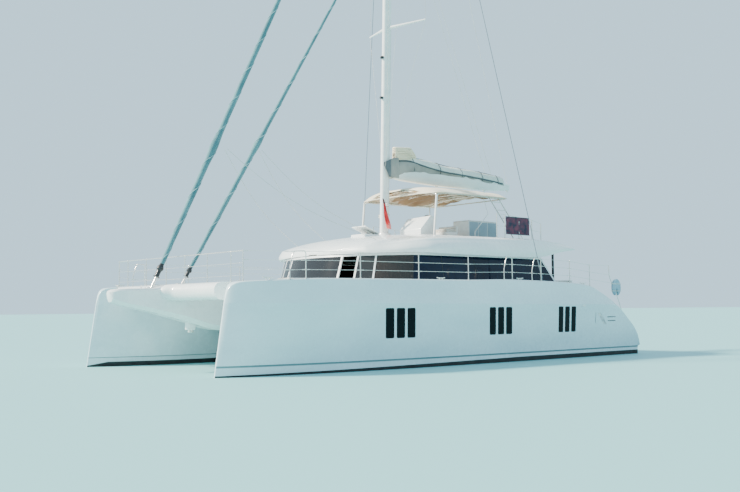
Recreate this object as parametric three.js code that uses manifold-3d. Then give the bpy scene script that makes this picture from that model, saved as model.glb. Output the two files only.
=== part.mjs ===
// Sailing catamaran, 18.3 m long, afloat. Millimetres.
// +X is forward, +Y is port and +Z is up. The origin is on the centreline at mid-length, on the waterline.
import * as THREE from "three";
import { mergeVertices } from "three/addons/utils/BufferGeometryUtils.js";
import Module from "manifold-3d";

const wasm = await Module();
wasm.setup();

// Seats: the space left between touching pieces
const SEAT = 0.3;

// Hulls
const HULL_Y = 3850;
const INNER_Y = 3000;
const CHINE_Z = 280;
const CHINE_STEP = 25;
const CHINE_LEDGE = 45;
const KNUCKLE_Z = { stern: 1870, bow: 1985 };
const DECK_EDGE = 45;
const STEM_TOP_Z = 2590;
const STEM_RAKE = 400;
const RAKE_FROM_X = 6000;
const BOTTOM_Z = -1500;

// Each section of the port hull: x on the waterline, depth of the canoe body, half breadths outboard of
// the hull's centre plane (waterline, knuckle, deck), breadth inboard of it, and height of the top.
const HULL_SECTIONS = [
  // x, keel, water, knuckle, deck, inner, top
  [9150, -40, 18, 26, 24, 18, 2060],
  [9120, -160, 42, 66, 60, 42, 2330],
  [9040, -300, 86, 138, 125, 88, 2480],
  [8850, -440, 160, 262, 235, 160, 2560],
  [8400, -570, 300, 480, 425, 310, 2590],
  [7600, -680, 490, 760, 665, 560, 2612],
  [6800, -740, 640, 945, 825, 760, 2640],
  [6100, -780, 745, 1055, 925, 850, 2652],
  [4800, -825, 870, 1165, 1025, 850, 2655],
  [3000, -850, 955, 1235, 1085, 850, 2658],
  [500, -855, 1000, 1250, 1100, 850, 2662],
  [-1500, -840, 1005, 1250, 1100, 850, 2700],
  [-3000, -800, 1000, 1248, 1100, 850, 2680],
  [-4840, -700, 975, 1238, 1090, 850, 2630],
  [-6000, -610, 960, 1220, 1080, 850, 2530],
  [-6570, -555, 950, 1208, 1080, 850, 2320],
  [-7300, -470, 940, 1190, 1090, 850, 1990],
  [-8100, -350, 935, 1150, 1085, 850, 1460],
  [-8850, -190, 935, 1080, 1050, 850, 810],
  [-9030, -120, 935, 1040, 1020, 840, 430],
];

// Stern stairs, cut down from above the deck
const LANDING = { x: [-7150, -6350], y: [INNER_Y - 10, 4500], z: 2000 };
const STAIR_Y = [3180, 4500];
const STEP_RISE = 310;
const STEP_X = [-7150, -7500, -7850, -8200, -8500, -9300];
const ABOVE_DECK_Z = 3000;

// Appendages below the canoe body, each on a landing that reaches up into the hull
const KEEL = { x: 300, chord: 3300, tipChord: 2500, thick: 430, z: -890, lean: 150, landing: 250 };
const LEG = { x: -5900, z: -700, chord: 420, thick: 130, depth: 560, pod: [260, -250], landing: 200 };
const RUDDER = {
  x: -7700,
  chord: 700,
  tipShare: 0.72,
  thick: 110,
  top: -520,
  gap: 60,
  bottom: -1450,
  balance: 0.28,
  stock: 45,
  landing: { radius: 90, tall: 250 },
};
const PROPELLER = { hub: 75, boss: 150, radius: 270, blades: 3, thick: 14, pitch: 62, behind: 70 };

// Bridgedeck between the hulls: an outline of x and z, and the levels of its floors
const FLOOR_Z = 2000;
const FOREDECK_Z = 2600;
const BRIDGE_FRONT_X = 6100;
const BRIDGEDECK_OUTLINE = [
  [BRIDGE_FRONT_X, FOREDECK_Z],
  [BRIDGE_FRONT_X, 2450],
  [5300, 1350],
  [4700, 1080],
  [-7500, 1080],
  [-8100, 1300],
  [-8100, 2480],
  [-7880, 2480],
  [-7880, FLOOR_Z],
  [2300, FLOOR_Z],
  [2300, FOREDECK_Z],
];

// Bow structure
const NACELLE_SECTIONS = [
  // x, top, shoulder, bottom, half breadth, half breadth of the keel line
  [10300, 2350, 2310, 2250, 100, 60],
  [10240, 2400, 2170, 2060, 190, 90],
  [10070, 2440, 2090, 2000, 300, 150],
  [9000, 2470, 1860, 1763, 370, 200],
  [8000, 2600, 1630, 1508, 430, 230],
  [6710, 2600, 1310, 1180, 450, 260],
  [4700, 2600, 1250, 1082, 450, 300],
];
const BEAM = { aft: 8050, nose: 8620, top: 2588, low: 2080, rootAft: 20 };
const NET = { z: [2500, 2520], inner: 400, outer: 3500 };

// Deckhouse: glass between a sill and the roof, elliptical in front and straight along the sides
const HOUSE = { x: 634, front: 2500, half: 3600, aft: -5690, aftTop: -4840 };
const GLASS_Z = { low: 2720, high: 3560 };
const GLASS_RAKE = { front: 300, side: 70 };
const GLASS_THICK = 16;
const GLASS_INSET = 8;
const FRAME_THICK = 70;
const SILL_Z = [2560, GLASS_Z.low];
const HEADER_Z = [3520, 3600];
const AFT_EDGE_TOP_Z = 3680;
const POST_LAP = 20;
const FRONT_HALF_ANGLE = 84;
const AFT_POST = [0.985, 1];
const BULKHEAD_X = -4700;

// Roof and flybridge
const ROOF_SECTIONS = [
  // x, half breadth, rim z, underside z, top edge z, crown z, breadth of the sloping side
  [2845, 260, 3610, 3640, 3680, 3700, 60],
  [2780, 960, 3605, 3630, 3730, 3800, 120],
  [2600, 1810, 3600, 3615, 3800, 3920, 200],
  [2200, 2790, 3595, 3601, 3890, 4080, 300],
  [1600, 3560, 3590, 3601, 3990, 4230, 400],
  [900, 3955, 3570, 3601, 4080, 4330, 470],
  [-600, 4000, 3550, 3601, 4170, 4420, 500],
  [-3200, 4000, 3545, 3601, 4210, 4420, 480],
  [-4400, 4000, 3580, 3640, 4230, 4400, 460],
  [-5450, 3960, 3770, 3830, 4190, 4330, 430],
  [-6280, 3880, 3880, 3900, 4080, 4180, 400],
  [-6800, 3600, 3920, 3930, 4010, 4090, 380],
  [-7050, 3000, 3935, 3940, 3985, 4030, 360],
];
const CEILING_Z = 4030;
const CEILING = { x: [-4740, 1500], y: 3150 };
const BOW_CEILING = { x: 2200, y: 1900, z: 3800 };
const FLY_FLOOR_Z = 4160;
const FLY = { x: [-5350, -750], y: 2950 };

// Hatch in the roof: its opening, and the hinge along the coaming's aft edge
const HATCH = {
  x: [580, 1180],
  y: [150, 790],
  coaming: 50,
  top: 4375,
  gap: 6,
  thick: 34,
  open: 20,
  hinge: { x: 508, z: 4398, pin: 8, barrel: 17, reach: 60, clear: 20, y: [[180, 200], [740, 760]] },
};
const HINGE_PLAY = 5;

// Spars. The mast leans aft, and the boom turns about an upright pin on its aft face.
const MAST = {
  x: -430,
  foot: 4470,
  heel: 150,
  top: 28600,
  taper: [22600, 0.7],
  lean: 0.0313,
  long: 350,
  wide: 250,
  collar: { radius: 300, tall: 30 },
};
const SPREADER = { root: 60, tip: 30, rise: 90 };
const SPREADERS = [
  // z, half span, sweep aft
  [12100, 1520, 520],
  [19600, 1300, 450],
];
const GOOSENECK = { x: -835, z: 6640, pin: 22, knuckle: 50, lugRadius: 52, tall: 120, lug: 20 };
const BOOM_SECTIONS = [
  // x, top z, half breadth at the top, belly z, half breadth at the belly
  [-900, 6760, 70, 6540, 40],
  [-1300, 6900, 190, 6500, 70],
  [-3600, 6960, 260, 6440, 90],
  [-6000, 6880, 190, 6480, 70],
  [-7290, 6800, 90, 6570, 50],
];
const BAG_SECTIONS = [
  // x, low z, top z, half breadth
  [-1000, 6788, 7250, 120],
  [-1500, 6898, 7500, 210],
  [-2200, 6912, 7420, 230],
  [-3700, 6950, 7270, 240],
  [-5600, 6888, 7190, 190],
  [-6900, 6818, 7080, 90],
];
const SAIL_SECTIONS = [
  // x, low z, top z, half breadth
  [-980, 7262, 7620, 90],
  [-1300, 7410, 7790, 150],
  [-2050, 7510, 7700, 130],
];

// Stays: deck end, height where each meets the mast, and the rolled sail's sizes
const FORESTAY = { foot: [8914, 0, 2473], mastZ: 22600, roll: 105, wire: 14 };
const INNER_STAY = { foot: [7884, 0, 2600], mastZ: 16650, roll: 80, wire: 12 };
const SHROUD = { foot: [-3418, 4800, 2680], mastZ: 28400, wire: 12, turnbuckle: 26 };

// A furler's parts, as shares of its stay's length, and the pad that it stands on
const FURLER = {
  base: [-0.006, 0.0105],
  drum: [0.01, 0.024],
  flange: [0.0235, 0.0265],
  neck: [0.026, 0.036],
  pad: { long: 400, wide: 180, z: [-120, 25] },
};

// Rails
const RAIL = { tall: 770, post: 15, line: 6, inset: 70, levels: [1, 0.68, 0.34] };
const STANCHION_X = [7160, 6670, 4830, 2610, 510, -1300, -1750, -2730, -3200, -4840, -6020];
const BOW_RAIL = {
  x: 8110,
  posts: [-3670, -3060, -1820, -560, 560, 1820, 3060, 3670],
  tall: 850,
  levels: [1, 0.6, 0.2],
};
const FLY_RAIL = {
  // x, top z
  posts: [[-2820, 5110], [-3240, 5100], [-4000, 5040], [-4730, 4980], [-5240, 4870]],
  y: 3300,
  post: 20,
  line: 8,
  levels: [0, 0.45],
};
const RAIL_PANEL = { x: [-4560, -3270], thick: 6, z: [4400, 5020] };
const ROOF_POST = { foot: [-5918, 3285, 2500], head: [-5520, 3600, 3800], radius: 45 };

// Canopy over the flybridge, its tubes, and the ladder that leans on it to port
const CANOPY_SECTIONS = [
  // x, half breadth, edge z, crown z
  [-1040, 1300, 5900, 6090],
  [-1180, 1950, 5880, 6160],
  [-1500, 2080, 5880, 6200],
  [-3000, 2120, 5890, 6230],
  [-4750, 2080, 5890, 6200],
  [-5000, 1600, 5900, 6130],
];
const CANOPY_DEEP = 60;
const CANOPY_FRAME = {
  y: 1950,
  // x, z of the rim below the canopy's rows, without the first and the last of these
  rims: [[-1190, 5795], [-1500, 5870], [-3000, 5885], [-4700, 5880]],
  rim: 28,
  hoopRows: [1, 3, 4],
  hoop: 22,
  hoopGap: 8,
  leg: 40,
  legFootX: -1020,
};
const LADDER = {
  y: 1975,
  // x, z at the foot and the head of the forward and the aft rail
  fore: [[-5480, 4150], [-3900, 5880]],
  aft: [[-6030, 4150], [-4420, 5880]],
  rail: 20,
  rung: 14,
  rungZ: [4560, 4850, 5140, 5430, 5720],
};

// Furniture: reach in x and y, and the heights above the floor
const SEATS = {
  helm_seat: { x: [-2700, -2150], y: [600, 1500], floor: FLY_FLOOR_Z, seat: 500, back: 640, deep: 120 },
  fly_settee: { x: [-5250, -3300], y: [-1880, -1080], floor: FLY_FLOOR_Z, seat: 430, back: 900, deep: 140 },
  cockpit_settee: { x: [-7860, -7050], y: [-2700, 2700], floor: FLOOR_Z, seat: 430, back: 850, deep: 180 },
  saloon_settee: { x: [-3900, -1200], y: [1900, 2900], floor: FLOOR_Z, seat: 430, back: 900, deep: 180 },
};
const FLY_BAR = { x: [-4850, -3290], y: [700, 1500], top: 5040 };
const COUNTER = { x: [-4100, -600], y: [-2900, -2250], top: 2920 };
const TABLE = { x: [-6700, -5900], y: [300, 2300], z: [2700, 2740], leg: 80 };
const CONSOLE = {
  y: [520, 1580],
  foot: -750,
  head: -1250,
  back: -1500,
  top: 5090,
  ledge: 4560,
  ease: [60, 120],
};
const WHEEL = {
  at: [CONSOLE.back - 90, 1050, 4820],
  radius: 330,
  tube: 18,
  spokes: 3,
  spoke: 14,
  hub: { radius: 55, half: 30 },
  shaft: 30,
};

const FINISH = {
  gelcoat: { color: 0xf1f4f3, roughness: 0.3, metalness: 0 },
  glass: { color: 0x26323d, roughness: 0.08, metalness: 0.1 },
  steel: { color: 0xc9cdd0, roughness: 0.2, metalness: 1 },
  spar: { color: 0xf4f4f2, roughness: 0.35, metalness: 0.1 },
  sail: { color: 0xe9e4d6, roughness: 0.85, metalness: 0 },
  teal: { color: 0x3c7d87, roughness: 0.8, metalness: 0 },
  bag: { color: 0x8296a0, roughness: 0.85, metalness: 0 },
  canvas: { color: 0xe2d6bd, roughness: 0.85, metalness: 0 },
  black: { color: 0x1b1d20, roughness: 0.5, metalness: 0 },
  bronze: { color: 0xa98a4c, roughness: 0.35, metalness: 0.9 },
  cushion: { color: 0xd9d6cd, roughness: 0.9, metalness: 0 },
  wood: { color: 0x9c7a52, roughness: 0.6, metalness: 0 },
};

const boat = new THREE.Group();

// Turns a closed geometry into a solid with its faces pointing out.
function solid(geometry) {
  const bare = geometry.index ? geometry.toNonIndexed() : geometry.clone();
  bare.deleteAttribute("normal");
  bare.deleteAttribute("uv");
  const merged = mergeVertices(bare, 1e-3);
  const index = merged.index.array;
  const corners = [];
  for (let i = 0; i < index.length; i += 3) {
    const [a, b, c] = [index[i], index[i + 1], index[i + 2]];
    if (a !== b && b !== c && c !== a) corners.push([a, b, c]);
  }
  const vertProperties = merged.attributes.position.array;
  const build = (faces) =>
    new wasm.Manifold(
      new wasm.Mesh({ numProp: 3, vertProperties, triVerts: new Uint32Array(faces.flat()) }),
    );
  const made = build(corners);
  return made.volume() < 0 ? build(corners.map(([a, b, c]) => [a, c, b])) : made;
}

// Adds a solid to the boat as a named mesh.
function add(name, shape, finish) {
  const { vertProperties, triVerts } = shape.getMesh();
  const geometry = new THREE.BufferGeometry();
  geometry.setAttribute("position", new THREE.BufferAttribute(vertProperties, 3));
  geometry.setIndex(new THREE.BufferAttribute(triVerts, 1));
  const flat = geometry.toNonIndexed();
  flat.computeVertexNormals();
  const mesh = new THREE.Mesh(flat, new THREE.MeshStandardMaterial(finish));
  mesh.name = name;
  boat.add(mesh);
}

const union = (parts) => parts.reduce((whole, part) => whole.add(part));
const mirrored = (shape) => shape.mirror([0, 1, 0]);
const moved = (shape, x, y, z) => shape.translate([x, y, z]);

// Cuts a piece to the surface of what carries it, leaving the seat's space above it.
const seatedOn = (piece, carrier) => piece.subtract(grown(carrier));

// A shape with the seat's space added all round, for cutting its neighbours.
function grown(shape) {
  const shifts = [0, 1, 2].flatMap((axis) =>
    [SEAT, -SEAT].map((size) => [0, 1, 2].map((k) => (k === axis ? size : 0))),
  );
  return union([shape, ...shifts.map((shift) => shape.translate(shift))]);
}

// The radius of a many-sided bore whose flats keep the seat's space round a pin.
const BORE_SIDES = 12;
const boreFor = (pin) => (pin + SEAT) / Math.cos(Math.PI / BORE_SIDES);

// The largest of the bodies that a cut leaves.
const largest = (shape) => shape.decompose().sort((a, b) => b.volume() - a.volume())[0];

function block([x0, x1], [y0, y1], [z0, z1]) {
  const box = new THREE.BoxGeometry(x1 - x0, y1 - y0, z1 - z0);
  return solid(box.translate((x0 + x1) / 2, (y0 + y1) / 2, (z0 + z1) / 2));
}

// A round bar between two points, which may taper.
function rod(from, to, radius, sides = 8, endRadius = radius) {
  const a = new THREE.Vector3(...from);
  const b = new THREE.Vector3(...to);
  const bar = new THREE.CylinderGeometry(endRadius, radius, a.distanceTo(b), sides);
  const along = b.clone().sub(a).normalize();
  const turn = new THREE.Quaternion().setFromUnitVectors(new THREE.Vector3(0, 1, 0), along);
  bar.applyQuaternion(turn);
  bar.translate(...a.add(b).multiplyScalar(0.5).toArray());
  return solid(bar);
}

// A bent bar along a chain of points.
function bentRod(points, radius, sides = 8) {
  const joints = points.slice(1, -1).map((p) => ball(p, radius));
  const bars = points.slice(1).map((p, i) => rod(points[i], p, radius, sides));
  return union([...bars, ...joints]);
}

function ball(centre, radius) {
  return solid(new THREE.SphereGeometry(radius, 8, 6).translate(...centre));
}

function shapeOf(outline) {
  return new THREE.Shape(outline.map(([a, b]) => new THREE.Vector2(a, b)));
}

// An outline in the XZ plane, extruded from y0 to y1.
function sideSlab(outline, y0, y1) {
  const made = new THREE.ExtrudeGeometry(shapeOf(outline), { depth: y1 - y0, bevelEnabled: false });
  return solid(made.rotateX(Math.PI / 2).translate(0, y1, 0));
}

// An outline in the XY plane, extruded from z0 to z1.
function plate(outline, z0, z1) {
  const made = new THREE.ExtrudeGeometry(shapeOf(outline), { depth: z1 - z0, bevelEnabled: false });
  return solid(made.translate(0, 0, z0));
}

// The faces that close an end ring, in the ring's own turning sense. A ring that isn't convex names the
// two axes that show it as an outline.
function capFaces(ring, capAxes) {
  if (!capAxes) return ring.slice(2).map((_, k) => [0, k + 1, k + 2]);
  const outline = ring.map((p) => new THREE.Vector2(p[capAxes[0]], p[capAxes[1]]));
  const clockwise = THREE.ShapeUtils.isClockWise(outline);
  const found = THREE.ShapeUtils.triangulateShape(outline, []);
  return clockwise ? found.map(([a, b, c]) => [a, c, b]) : found;
}

// Closes the skin over rings that have equally many points.
function loft(rings, capAxes) {
  const count = rings[0].length;
  const faces = [];
  for (let r = 0; r + 1 < rings.length; r++) {
    for (let i = 0; i < count; i++) {
      const j = (i + 1) % count;
      const [a, b] = [r * count + i, r * count + j];
      faces.push([a, b, b + count], [a, b + count, a + count]);
    }
  }
  const start = capFaces(rings[0], capAxes);
  const end = capFaces(rings.at(-1), capAxes);
  const last = (rings.length - 1) * count;
  faces.push(...start.map(([a, b, c]) => [a, c, b]));
  faces.push(...end.map((face) => face.map((k) => k + last)));
  const geometry = new THREE.BufferGeometry();
  const positions = new Float32Array(rings.flat(2));
  geometry.setAttribute("position", new THREE.BufferAttribute(positions, 3));
  geometry.setIndex(faces.flat());
  return solid(geometry);
}

// Hulls

const mix = (a, b, t) => a + (b - a) * t;
const knuckleAt = (x) => mix(KNUCKLE_Z.stern, KNUCKLE_Z.bow, (x + 5900) / 15000);

// The stem leans aft as it rises, and the lean fades out along the bow.
function raked(x, z) {
  const fade = Math.max(0, (x - RAKE_FROM_X) / (HULL_SECTIONS[0][0] - RAKE_FROM_X));
  return x - (STEM_RAKE * fade * Math.max(0, z)) / STEM_TOP_Z;
}

function hullRing([x, keel, water, knuckle, deck, inner, top]) {
  const knuckleZ = Math.min(knuckleAt(x), top - 2 * DECK_EDGE);
  const edge = Math.min(DECK_EDGE, deck / 2);
  const chine = Math.min(CHINE_LEDGE, water / 4);
  const outline = [
    [0, keel],
    [0.6 * water, 0.84 * keel],
    [0.92 * water, 0.42 * keel],
    [water, 0],
    [water + chine * 0.2, CHINE_Z],
    [water + chine, CHINE_Z + CHINE_STEP],
    [knuckle, knuckleZ],
    [deck, top - edge],
    [deck - edge, top],
    [-inner, top],
    [-inner, CHINE_Z],
    [-0.97 * inner, 0],
    [-0.88 * inner, 0.42 * keel],
    [-0.55 * inner, 0.84 * keel],
  ];
  return outline.map(([y, z]) => [raked(x, z), HULL_Y + y, z]);
}

// A symmetric foil's outline in plan, about the middle of its chord.
function foil(x, y, chord, thick) {
  const ahead = [0.5, 0.47, 0.38, 0.22, 0, -0.25];
  const breadth = [0, 0.28, 0.42, 0.5, 0.46, 0.26];
  const side = ahead.map((a, i) => [x + a * chord, y + breadth[i] * thick]);
  const back = side.slice(1).reverse();
  return [...side, [x - chord / 2, y], ...back.map(([px, py]) => [px, 2 * y - py])];
}

function fin(x, chord, tipChord, thick, zTop, zBottom, lean = 0) {
  const levels = [
    [zTop, chord, x],
    [zBottom, tipChord, x - lean],
  ];
  const rings = levels.map(([z, c, cx]) =>
    foil(cx, HULL_Y, c, (thick * c) / chord).map(([px, py]) => [px, py, z]),
  );
  return loft(rings);
}

function makeHull() {
  const body = loft(HULL_SECTIONS.map(hullRing), [1, 2]);
  const legRoot = [1.2 * LEG.chord, 1.2 * LEG.chord, 1.6 * LEG.thick];
  const { radius, tall } = RUDDER.landing;
  const landings = [
    fin(KEEL.x, KEEL.chord, KEEL.chord, KEEL.thick, KEEL.z + KEEL.landing, KEEL.z),
    fin(LEG.x, ...legRoot, LEG.z + LEG.landing, LEG.z),
    rod([RUDDER.x, HULL_Y, RUDDER.top + SEAT], [RUDDER.x, HULL_Y, RUDDER.top + tall], radius, 12),
    block([BEAM.aft - BEAM.rootAft, BEAM.nose], [INNER_Y, HULL_Y], [BEAM.low - 20, BEAM.top - 4]),
  ];
  const cuts = [block(LANDING.x, LANDING.y, [LANDING.z, ABOVE_DECK_Z])];
  for (let i = 0; i + 1 < STEP_X.length; i++) {
    const tread = LANDING.z - STEP_RISE * (i + 1);
    cuts.push(block([STEP_X[i + 1], STEP_X[i] + 1], STAIR_Y, [tread, ABOVE_DECK_Z]));
  }
  return union([body, ...landings]).subtract(union(cuts));
}

const hull = makeHull();

// Bridgedeck, with the cockpit's sole, the saloon's floor and the foredeck
const bridgedeck = sideSlab(BRIDGEDECK_OUTLINE, -INNER_Y + SEAT, INNER_Y - SEAT);

// Bow: the nacelle on the centreline, the crossbeam's two halves and the nets

function nacelleRing([x, top, shoulder, bottom, half, keelHalf]) {
  const edge = mix(top, shoulder, 0.2);
  return [
    [x, 0.8 * half, top],
    [x, half, edge],
    [x, half, shoulder],
    [x, keelHalf, bottom],
    [x, -keelHalf, bottom],
    [x, -half, shoulder],
    [x, -half, edge],
    [x, -0.8 * half, top],
  ];
}

function makeNacelle() {
  const body = loft(NACELLE_SECTIONS.map(nacelleRing));
  return largest(body.subtract(grown(bridgedeck)));
}

function makeCrossbeam() {
  const { aft, nose, top, low } = BEAM;
  const outline = [
    [aft, top],
    [nose - 280, top],
    [nose - 120, top - 40],
    [nose - 30, top - 130],
    [nose, top - 240],
    [nose - 40, top - 370],
    [nose - 130, low + 20],
    [nose - 260, low],
    [aft, low],
  ];
  return sideSlab(outline, 0, INNER_Y - SEAT);
}

const nacelle = makeNacelle();
const bothSides = grown(nacelle.add(mirrored(nacelle)));
const crossbeam = makeCrossbeam().subtract(bothSides);

function makeNet() {
  const root = BEAM.aft - BEAM.rootAft - SEAT;
  const outline = [
    [BRIDGE_FRONT_X + SEAT, NET.inner],
    [BEAM.aft - SEAT, NET.inner],
    [BEAM.aft - SEAT, INNER_Y + 50],
    [root, INNER_Y + 50],
    [root, NET.outer],
    [BRIDGE_FRONT_X + SEAT, NET.outer],
  ];
  return plate(outline, ...NET.z).subtract(grown(hull)).subtract(bothSides);
}

// Deckhouse. A station is an angle on the front's ellipse, or a place along the straight side.

function housePoint(station, z, inset) {
  const rise = (z - GLASS_Z.low) / (GLASS_Z.high - GLASS_Z.low);
  const half = HOUSE.half - GLASS_RAKE.side * rise - inset;
  const front = HOUSE.front - GLASS_RAKE.front * rise - inset;
  if (station.along === undefined) {
    const angle = THREE.MathUtils.degToRad(station.angle);
    return [HOUSE.x + front * Math.cos(angle), half * Math.sin(angle), z];
  }
  const sloping = mix(HOUSE.aft, HOUSE.aftTop, (z - GLASS_Z.low) / (AFT_EDGE_TOP_Z - GLASS_Z.low));
  return [mix(HOUSE.x, sloping, station.along), half * station.side, z];
}

// A band of the deckhouse's wall between two heights, through the given stations.
function wallBand(stations, zLow, zHigh, outer, thick) {
  const ring = (s) => [
    housePoint(s, zLow, outer),
    housePoint(s, zHigh, outer),
    housePoint(s, zHigh, outer + thick),
    housePoint(s, zLow, outer + thick),
  ];
  const rings = stations.map(ring);
  return loft(rings);
}

function angles(from, to, step = 9) {
  const count = Math.max(1, Math.round((to - from) / step));
  return Array.from({ length: count + 1 }, (_, i) => ({ angle: mix(from, to, i / count) }));
}

const sideStations = (side, from, to) => [
  { along: from, side },
  { along: to, side },
];

// The angle on the ellipse at which a mullion stands, from its distance off the centreline.
const mullionAngle = (y) => THREE.MathUtils.radToDeg(Math.asin(y / HOUSE.half));
const MULLION_Y = [1390, 1990, 2560];
const MULLION_HALF = 0.75;

function makeSaloonFrame() {
  const wholeBand = ([zLow, zHigh]) => {
    const stations = [
      ...sideStations(-1, 1, 0),
      ...angles(-FRONT_HALF_ANGLE, FRONT_HALF_ANGLE, 8),
      ...sideStations(1, 0, 1),
    ];
    return wallBand(stations, zLow, zHigh, 0, FRAME_THICK);
  };
  const sill = wholeBand(SILL_Z);
  const header = wholeBand(HEADER_Z);
  const postZ = [SILL_Z[1] - POST_LAP, HEADER_Z[0] + POST_LAP];
  const posts = [];
  for (const y of MULLION_Y) {
    const at = mullionAngle(y);
    for (const side of [1, -1]) {
      const ends = [
        { angle: side * (at - MULLION_HALF) },
        { angle: side * (at + MULLION_HALF) },
      ];
      posts.push(wallBand(ends, ...postZ, 0, FRAME_THICK));
    }
  }
  for (const side of [1, -1]) {
    posts.push(wallBand(sideStations(side, ...AFT_POST), ...postZ, 0, FRAME_THICK));
  }
  const whole = union([sill, header, ...posts]);
  return [hull, mirrored(hull), bridgedeck].reduce((cut, below) => seatedOn(cut, below), whole);
}

// A pane between two stations, set in the frame's outer face.
function makePane(stations, frame) {
  const z = [SILL_Z[1] + SEAT, HEADER_Z[0] - SEAT];
  const pane = wallBand(stations, ...z, GLASS_INSET, GLASS_THICK);
  return largest(pane.subtract(grown(frame)));
}

// Roof with its ceiling and the flybridge's floor

function roofRing([x, half, rim, under, edge, crown, slope]) {
  const drop = Math.min(60, half * 0.2);
  const side = [
    [half, rim],
    [half + 25, rim + 0.35 * (edge - rim)],
    [half - 0.35 * slope, edge - 0.22 * (edge - rim)],
    [half - slope, edge + 0.1 * (crown - edge)],
    [0.55 * (half - slope), mix(edge, crown, 0.75)],
  ];
  const rightHalf = side.map(([y, z]) => [x, y, z]);
  const leftHalf = side.map(([y, z]) => [x, -y, z]).reverse();
  const underside = [
    [x, -(half - drop), under],
    [x, half - drop, under],
  ];
  return [...rightHalf, [x, 0, crown], ...leftHalf, ...underside];
}

function makeRoof() {
  const half = loft(ROOF_SECTIONS.map(roofRing), [1, 2]).trimByPlane([0, 1, 0], 0);
  const shell = half.add(mirrored(half));
  const [below, above] = [GLASS_Z.low, FLY_FLOOR_Z + 1000];
  const room = block(CEILING.x, [-CEILING.y, CEILING.y], [below, CEILING_Z]);
  const bowX = [CEILING.x[1] - 1, BOW_CEILING.x];
  const bow = block(bowX, [-BOW_CEILING.y, BOW_CEILING.y], [below, BOW_CEILING.z]);
  const deck = block(FLY.x, [-FLY.y, FLY.y], [FLY_FLOOR_Z, above]);
  const { x, y, coaming, top, hinge } = HATCH;
  const widened = (pair) => [pair[0] - coaming, pair[1] + coaming];
  const curb = block(widened(x), widened(y), [FLY_FLOOR_Z, top]);
  const hatchway = block(x, y, [below, above]);
  const lugs = hinge.y.map((at) => block([hinge.x - 16, x[0] - coaming + 1], at, [top - 60, hinge.z + 16]));
  const pins = hinge.y.map((at) => {
    const middle = (at[0] + at[1]) / 2;
    const inward = middle < (y[0] + y[1]) / 2 ? 1 : -1;
    return rod([hinge.x, middle, hinge.z], [hinge.x, middle + inward * hinge.reach, hinge.z], hinge.pin, 12);
  });
  const made = shell.add(union([curb, ...lugs, ...pins])).subtract(union([room, bow, deck]));
  return made.subtract(hatchway);
}

// The lid as it lies closed, turned open about its hinge.
function makeHatchLid() {
  const { x, y, coaming, top, gap, thick, open, hinge } = HATCH;
  const low = top + gap;
  const length = [x[0] - coaming + hinge.clear, x[1] + coaming];
  const panel = block(length, [y[0] - coaming, y[1] + coaming], [low, low + thick]);
  const [first, second] = hinge.y;
  const knuckle = [first[1] + HINGE_PLAY, second[0] - HINGE_PLAY];
  const barrel = rod([hinge.x, knuckle[0], hinge.z], [hinge.x, knuckle[1], hinge.z], hinge.barrel, 16);
  const strap = block([hinge.x, x[0]], [y[0] + 60, y[1] - 60], [low, low + thick]);
  const ends = [y[0] - 200, y[1] + 200].map((at) => [hinge.x, at, hinge.z]);
  const bore = rod(...ends, boreFor(hinge.pin), BORE_SIDES);
  const lid = union([panel, barrel, strap]).subtract(bore).translate([-hinge.x, 0, -hinge.z]);
  return lid.rotate([0, -open, 0]).translate([hinge.x, 0, hinge.z]);
}

const roof = makeRoof();

// Spars and stays

const mastX = (z) => MAST.x - MAST.lean * (z - MAST.foot);

function mastRing(z, scale) {
  const sides = 12;
  return Array.from({ length: sides }, (_, i) => {
    const angle = (2 * Math.PI * (i + 0.5)) / sides;
    const x = mastX(z) + (scale * MAST.long * Math.cos(angle)) / 2;
    return [x, (scale * MAST.wide * Math.sin(angle)) / 2, z];
  });
}

function makeMast() {
  const heel = MAST.foot - MAST.heel;
  const levels = [
    [heel, 1],
    [MAST.taper[0], 1],
    [MAST.top, MAST.taper[1]],
  ];
  const tube = loft(levels.map(([z, scale]) => mastRing(z, scale)));
  const collar = rod([MAST.x, 0, heel], [MAST.x, 0, MAST.foot + MAST.collar.tall], MAST.collar.radius, 12);
  const arms = SPREADERS.flatMap(([z, half, sweep]) =>
    [1, -1].map((side) => {
      const from = [mastX(z), side * SPREADER.root, z];
      const to = [mastX(z) - sweep, side * half, z + SPREADER.rise];
      return rod(from, to, SPREADER.root, 8, SPREADER.tip);
    }),
  );
  const { x, z, lugRadius, tall, lug, pin } = GOOSENECK;
  const lugs = [1, -1].map((side) => {
    const face = z + side * (tall / 2 + SEAT);
    const eye = rod([x, 0, face], [x, 0, face + side * lug], lugRadius, 16);
    const levelsOfLug = [face, face + side * lug].sort((a, b) => a - b);
    return eye.add(block([x, mastX(z) - 100], [-lugRadius, lugRadius], levelsOfLug));
  });
  const reach = tall / 2 + lug - 1;
  const pinBar = rod([x, 0, z - reach], [x, 0, z + reach], pin, 12);
  return seatedOn(union([tube, collar, ...arms, ...lugs, pinBar]), roof);
}

function boomRing([x, top, halfTop, belly, halfBelly]) {
  const low = mix(top, belly, 0.55);
  const side = [
    [halfTop * 0.9, top],
    [halfTop, top - 30],
    [halfTop * 0.85, low],
    [halfBelly, belly],
  ];
  const port = side.map(([y, z]) => [x, y, z]);
  const starboard = side.map(([y, z]) => [x, -y, z]).reverse();
  return [...port, ...starboard];
}

function makeBoom() {
  const { x, z, knuckle, tall, pin } = GOOSENECK;
  const body = loft(BOOM_SECTIONS.map(boomRing));
  const barrel = rod([x, 0, z - tall / 2], [x, 0, z + tall / 2], knuckle, 12);
  const neck = block([BOOM_SECTIONS[0][0] - 40, x - 20], [-35, 35], [z - tall / 2, z + tall / 2]);
  const bore = rod([x, 0, z - tall], [x, 0, z + tall], boreFor(pin), BORE_SIDES);
  return union([body, barrel, neck]).subtract(bore);
}

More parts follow.
